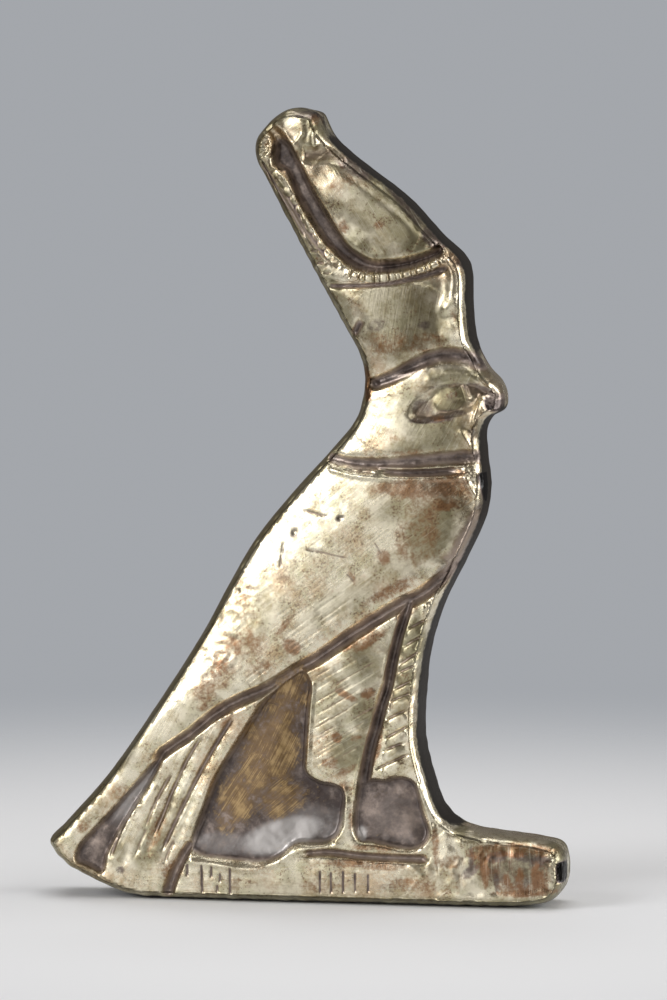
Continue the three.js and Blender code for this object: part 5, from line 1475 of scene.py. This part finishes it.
@dataclass(frozen=True)
class SheetGold:
    """Worn pale gold: polished high places, purple-brown tarnish in the recesses, reddish stains, painted shade on the
    side wall, the rims and in the tears, and a painted reflection on sunk floors.
    """

    pale: tuple = (0.87, 0.8, 0.62, 1.0)
    green: tuple = (0.54, 0.505, 0.30, 1.0)
    olive: tuple = (0.43, 0.34, 0.18, 1.0)
    warm: tuple = (0.55, 0.36, 0.20, 1.0)
    plum: tuple = (0.34, 0.27, 0.25, 1.0)
    bright: tuple = (0.95, 0.91, 0.76, 1.0)
    rubbed: tuple = (0.47, 0.32, 0.145, 1.0)
    glaze: tuple = (0.185, 0.11, 0.045, 1.0)
    halo: tuple = (0.27, 0.20, 0.115, 1.0)
    tarnish: tuple = (0.38, 0.305, 0.26, 1.0)
    core: tuple = (0.06, 0.043, 0.039, 1.0)
    # Grey of the painted reflection on sunk floors.
    painted_reflection: tuple = (0.5, 0.475, 0.46, 1.0)
    stain: tuple = (0.265, 0.125, 0.05, 1.0)
    # Olive patina; near the silhouette it is also painted shade of the rolled rim.
    patina: tuple = (0.25, 0.22, 0.115, 1.0)
    film: tuple = (0.125, 0.09, 0.085, 1.0)
    # Near-black painted shade of the side wall, which faces away from the lights.
    wall: tuple = (0.015, 0.013, 0.0115, 1.0)
    pit: tuple = (0.15, 0.07, 0.035, 1.0)
    # Black painted shade inside the tears.
    hole_shade: tuple = (0.004, 0.003, 0.003, 1.0)
    roughness: float = 0.27
    lacquer: float = 0.6
    dull: float = 0.36

    def build(self) -> bpy.types.Material:
        """Make the material from object coordinates in millimetres and the sheet's attributes.

        Returns:
            The finished material.
        """
        n = Nodes("worn_pale_gold")
        place = n.mapped(n.add("ShaderNodeTexCoord").outputs["Object"], (1000.0, 1000.0, 1000.0))
        grain = n.attribute("grain", "Vector")
        broad = n.noise(place, 0.3, 3.0)
        middle = n.noise(place, 0.9, 5.0, 0.6)
        other = n.noise(n.mapped(place, (1.0, 1.0, 1.0), (37.0, 11.0, 5.0)), 0.6, 4.0, 0.6)
        fine = n.noise(place, 4.0, 4.0, 0.65)
        brushed = n.noise(n.mapped(grain, (0.35, 5.0, 1.0)), 1.0, 4.0, 0.7)
        hairs = n.noise(n.mapped(grain, (0.4, 14.0, 1.0)), 1.0, 2.0, 0.6)

        tone = n.mix(n.times(n.ramp(other, 0.42, 0.7), 0.7), self.pale, self.green)
        worn = n.plus(n.times(middle, 0.7), n.times(brushed, 0.3))
        tone = n.mix(n.times(n.ramp(worn, 0.44, 0.66), 0.7), tone, self.olive)
        tone = n.mix(n.times(n.ramp(n.plus(n.times(broad, 0.6), n.times(fine, 0.4)), 0.48, 0.64), 0.6), tone, self.warm)
        uneven = n.times(n.plus(n.plus(middle, fine), -1.0), 1.2)
        # The olive and purple tints also carry painted shade along the rims and the crown's front edge.
        tints = ((Tint.OLIVE, self.patina, 0.35), (Tint.PLUM, self.film, 0.7), (Tint.RED, self.stain, 1.0))
        for tint, colour, broken in tints:
            share = n.ramp(n.plus(n.attribute(tint.value), n.times(uneven, broken)), 0.2, 1.0)
            tone = n.mix(n.times(share, 0.85), tone, colour)
        freckle = n.plus(n.times(n.noise(place, 6.0, 2.0, 0.6), 0.8), n.times(middle, 0.35))
        patchy = n.times(n.ramp(freckle, 0.62, 0.7), n.ramp(other, 0.42, 0.6))
        tone = n.mix(n.times(patchy, 0.7), tone, self.pit)
        tone = n.mix(n.times(n.ramp(hairs, 0.6, 0.72), 0.35), tone, self.bright)

        dark = n.attribute("tarnish")
        ragged = n.plus(dark, n.times(n.plus(n.plus(middle, fine), -1.0), 0.35))
        tone = n.mix(n.times(n.ramp(ragged, 0.08, 0.5), n.ramp(middle, 0.3, 0.6)), tone, self.halo)
        deep = n.plus(ragged, n.times(n.plus(middle, -0.5), 0.5))
        floor = n.mix(n.ramp(deep, 0.6, 1.1), self.tarnish, self.core)
        # Painted reflection: grey laid over the sunk floor where its marks are.
        floor = n.mix(n.ramp(n.plus(n.attribute("painted_reflection"), n.times(uneven, 0.6)), 0.0, 1.6), floor, self.painted_reflection)
        streaks = n.plus(n.plus(n.times(brushed, 0.8), n.times(hairs, 0.8)), n.times(middle, 0.3))
        rubbed = n.times(n.ramp(n.plus(n.plus(n.times(streaks, 0.7), uneven), n.attribute("gild")), 0.85, 1.6), 0.9)
        lines = n.ramp(n.plus(hairs, n.times(n.plus(middle, -0.5), 1.4)), 0.4, 0.8)
        floor = n.mix(rubbed, floor, n.mix(lines, self.glaze, self.rubbed))
        sunk = n.ramp(ragged, 0.18, 0.78)
        tone = n.mix(sunk, tone, floor)
        # Painted shade on the side wall, broken by speckle; it also takes off the metal, the coat and some polish
        # there.
        speckle = n.plus(n.times(n.plus(middle, -0.5), 0.7), n.times(n.plus(fine, -0.5), 0.9))
        painted_wall_shade = n.ramp(n.plus(n.attribute("wall"), speckle), 0.2, 0.75)
        tone = n.mix(painted_wall_shade, tone, self.wall)
        # Painted shade: the tears are painted black, rough and not metal.
        hole = n.ramp(dark, 1.2, 1.7)
        tone = n.mix(hole, tone, self.hole_shade)
        n.feed(n.shader.inputs["Base Color"], tone)

        # Less metal in the sunk floors, and none on the wall's painted shade or in the tears painted black.
        metal = n.spread(n.most(n.most(n.times(sunk, 0.25), painted_wall_shade), hole), 1.0, 0.0)
        n.feed(n.shader.inputs["Metallic"], metal)
        covered = n.most(sunk, painted_wall_shade)
        rough = n.plus(n.spread(covered, self.roughness, self.dull), n.spread(fine, -0.07, 0.07))
        rough = n.plus(rough, n.plus(n.times(n.attribute("patina"), 0.1), n.times(painted_wall_shade, 0.12)))
        n.feed(n.shader.inputs["Roughness"], n.most(rough, n.times(hole, 0.9)))
        n.shader.inputs["Specular IOR Level"].default_value = 0.15
        n.feed(n.shader.inputs["Coat Weight"], n.spread(painted_wall_shade, self.lacquer, 0.0))
        n.shader.inputs["Coat Roughness"].default_value = 0.22

        normal = n.bump(hairs, 0.35, 0.00003)
        normal = n.bump(brushed, 0.3, 0.00005, normal)
        normal = n.bump(fine, 0.2, 0.00004, normal)
        n.feed(n.shader.inputs["Normal"], n.bump(middle, 0.15, 0.0002, normal))
        return n.material


@dataclass(frozen=True)
class Studio:
    """Plain pale table that fades into a grey room, soft lights and the camera."""

    azimuth: float = math.radians(10.0)
    elevation: float = math.radians(5.0)
    distance: float = 400.0
    focal_pixels: float = 5714.0
    frame_height: float = 1000.0
    target: tuple = (1.72, 0.0, 28.2)
    table_radius: float = 0.16
    solid_radius: float = 0.03
    backdrop: tuple = (0.37, 0.385, 0.41, 1.0)
    room: tuple = (0.30, 0.27, 0.24, 1.0)

    def camera(self) -> None:
        """Put the camera at the photograph's angle: back from the target along the view."""
        a, e = self.azimuth, self.elevation
        back = Vector((math.sin(a) * math.cos(e), -math.cos(a) * math.cos(e), math.sin(e)))
        right = Vector((math.cos(a), math.sin(a), 0.0))
        up = back.cross(right)
        lens = bpy.data.cameras.new("view")
        lens.sensor_width = 36.0
        lens.lens = self.focal_pixels / self.frame_height * lens.sensor_width
        lens.clip_start = 0.01
        camera = bpy.data.objects.new("view", lens)
        turn = Matrix((right, up, back)).transposed().to_4x4()
        camera.matrix_world = Matrix.Translation((Vector(self.target) + back * self.distance) * MM) @ turn
        bpy.context.collection.objects.link(camera)
        bpy.context.scene.camera = camera

    def table(self) -> None:
        """Round pale table, whose colour thins out to nothing from the solid radius to its border."""
        angle = np.linspace(0.0, 2 * math.pi, 96, endpoint=False)
        ring = np.stack([np.cos(angle), np.sin(angle), 0 * angle], axis=1) * self.table_radius
        mesh = bpy.data.meshes.new("table")
        mesh.from_pydata(ring.tolist(), [], [list(range(len(ring)))])
        table = bpy.data.objects.new("table", mesh)
        bpy.context.collection.objects.link(table)
        n = Nodes("pale_table")
        length = n.add("ShaderNodeVectorMath", operation="LENGTH")
        n.join(n.add("ShaderNodeTexCoord").outputs["Object"], length.inputs[0])
        share = n.ramp(length.outputs["Value"], self.table_radius * 0.8, self.solid_radius)
        n.feed(n.shader.inputs["Alpha"], share)
        n.shader.inputs["Base Color"].default_value = (0.80, 0.81, 0.83, 1.0)
        n.shader.inputs["Roughness"].default_value = 0.75
        n.shader.inputs["Specular IOR Level"].default_value = 0.2
        mesh.materials.append(n.material)

    def softbox(self, name: str, place: tuple, size: tuple, power: float, tint: tuple = (1.0, 1.0, 1.0)) -> None:
        """One rectangular soft light that looks at the figure's middle, in metres and watts."""
        light = bpy.data.lights.new(name, "AREA")
        light.shape = "RECTANGLE"
        light.size, light.size_y = size
        light.energy = power
        light.color = tint
        lamp = bpy.data.objects.new(name, light)
        toward = Vector(place) - Vector((0.0, 0.0, 0.03))
        lamp.matrix_world = Matrix.Translation(place) @ toward.to_track_quat("Z", "Y").to_matrix().to_4x4()
        bpy.context.collection.objects.link(lamp)

    def lights(self) -> None:
        """Large soft light from the upper left, a narrow one from the right, one overhead, a small one for the glints on the right, and a dim room."""
        self.softbox("key", (-0.37, -0.31, 0.26), (0.22, 0.30), 1.25)
        self.softbox("wash", (-0.27, -0.53, 0.12), (0.46, 0.46), 0.72)
        self.softbox("side", (0.45, 0.02, 0.12), (0.40, 0.34), 1.7)
        self.softbox("overhead", (0.0, 0.08, 0.5), (0.4, 0.3), 1.05)
        self.softbox("glint", (0.256, -0.231, 0.32), (0.2, 0.2), 0.2)
        world = bpy.data.worlds.new("room")
        world.use_nodes = True
        tree = world.node_tree
        seen = tree.nodes.new("ShaderNodeBackground")
        seen.inputs["Color"].default_value = self.backdrop
        dim = tree.nodes["Background"]
        dim.inputs["Color"].default_value = self.room
        dim.inputs["Strength"].default_value = 0.5
        choice = tree.nodes.new("ShaderNodeMixShader")
        tree.links.new(tree.nodes.new("ShaderNodeLightPath").outputs["Is Camera Ray"], choice.inputs["Fac"])
        tree.links.new(dim.outputs["Background"], choice.inputs[1])
        tree.links.new(seen.outputs["Background"], choice.inputs[2])
        tree.links.new(choice.outputs["Shader"], tree.nodes["World Output"].inputs["Surface"])
        bpy.context.scene.world = world
        bpy.context.scene.view_settings.view_transform = "Standard"

    def build(self) -> None:
        """Make the camera, the table and the lights."""
        self.camera()
        self.table()
        self.lights()


def main() -> None:
    """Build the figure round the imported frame, dress it and light it."""
    logging.basicConfig(level=logging.INFO, format="%(message)s")
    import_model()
    Studio().build()
    low, high = (np.array(corner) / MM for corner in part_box(NODE))
    sheet = FalconSheet().build(low, high)
    sheet.data.materials.append(SheetGold().build())
    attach(sheet, BODY)
    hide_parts(NODE)
    logging.info("%s: %d triangles", sheet.name, len(sheet.data.polygons))


if __name__ == "__main__":
    main()
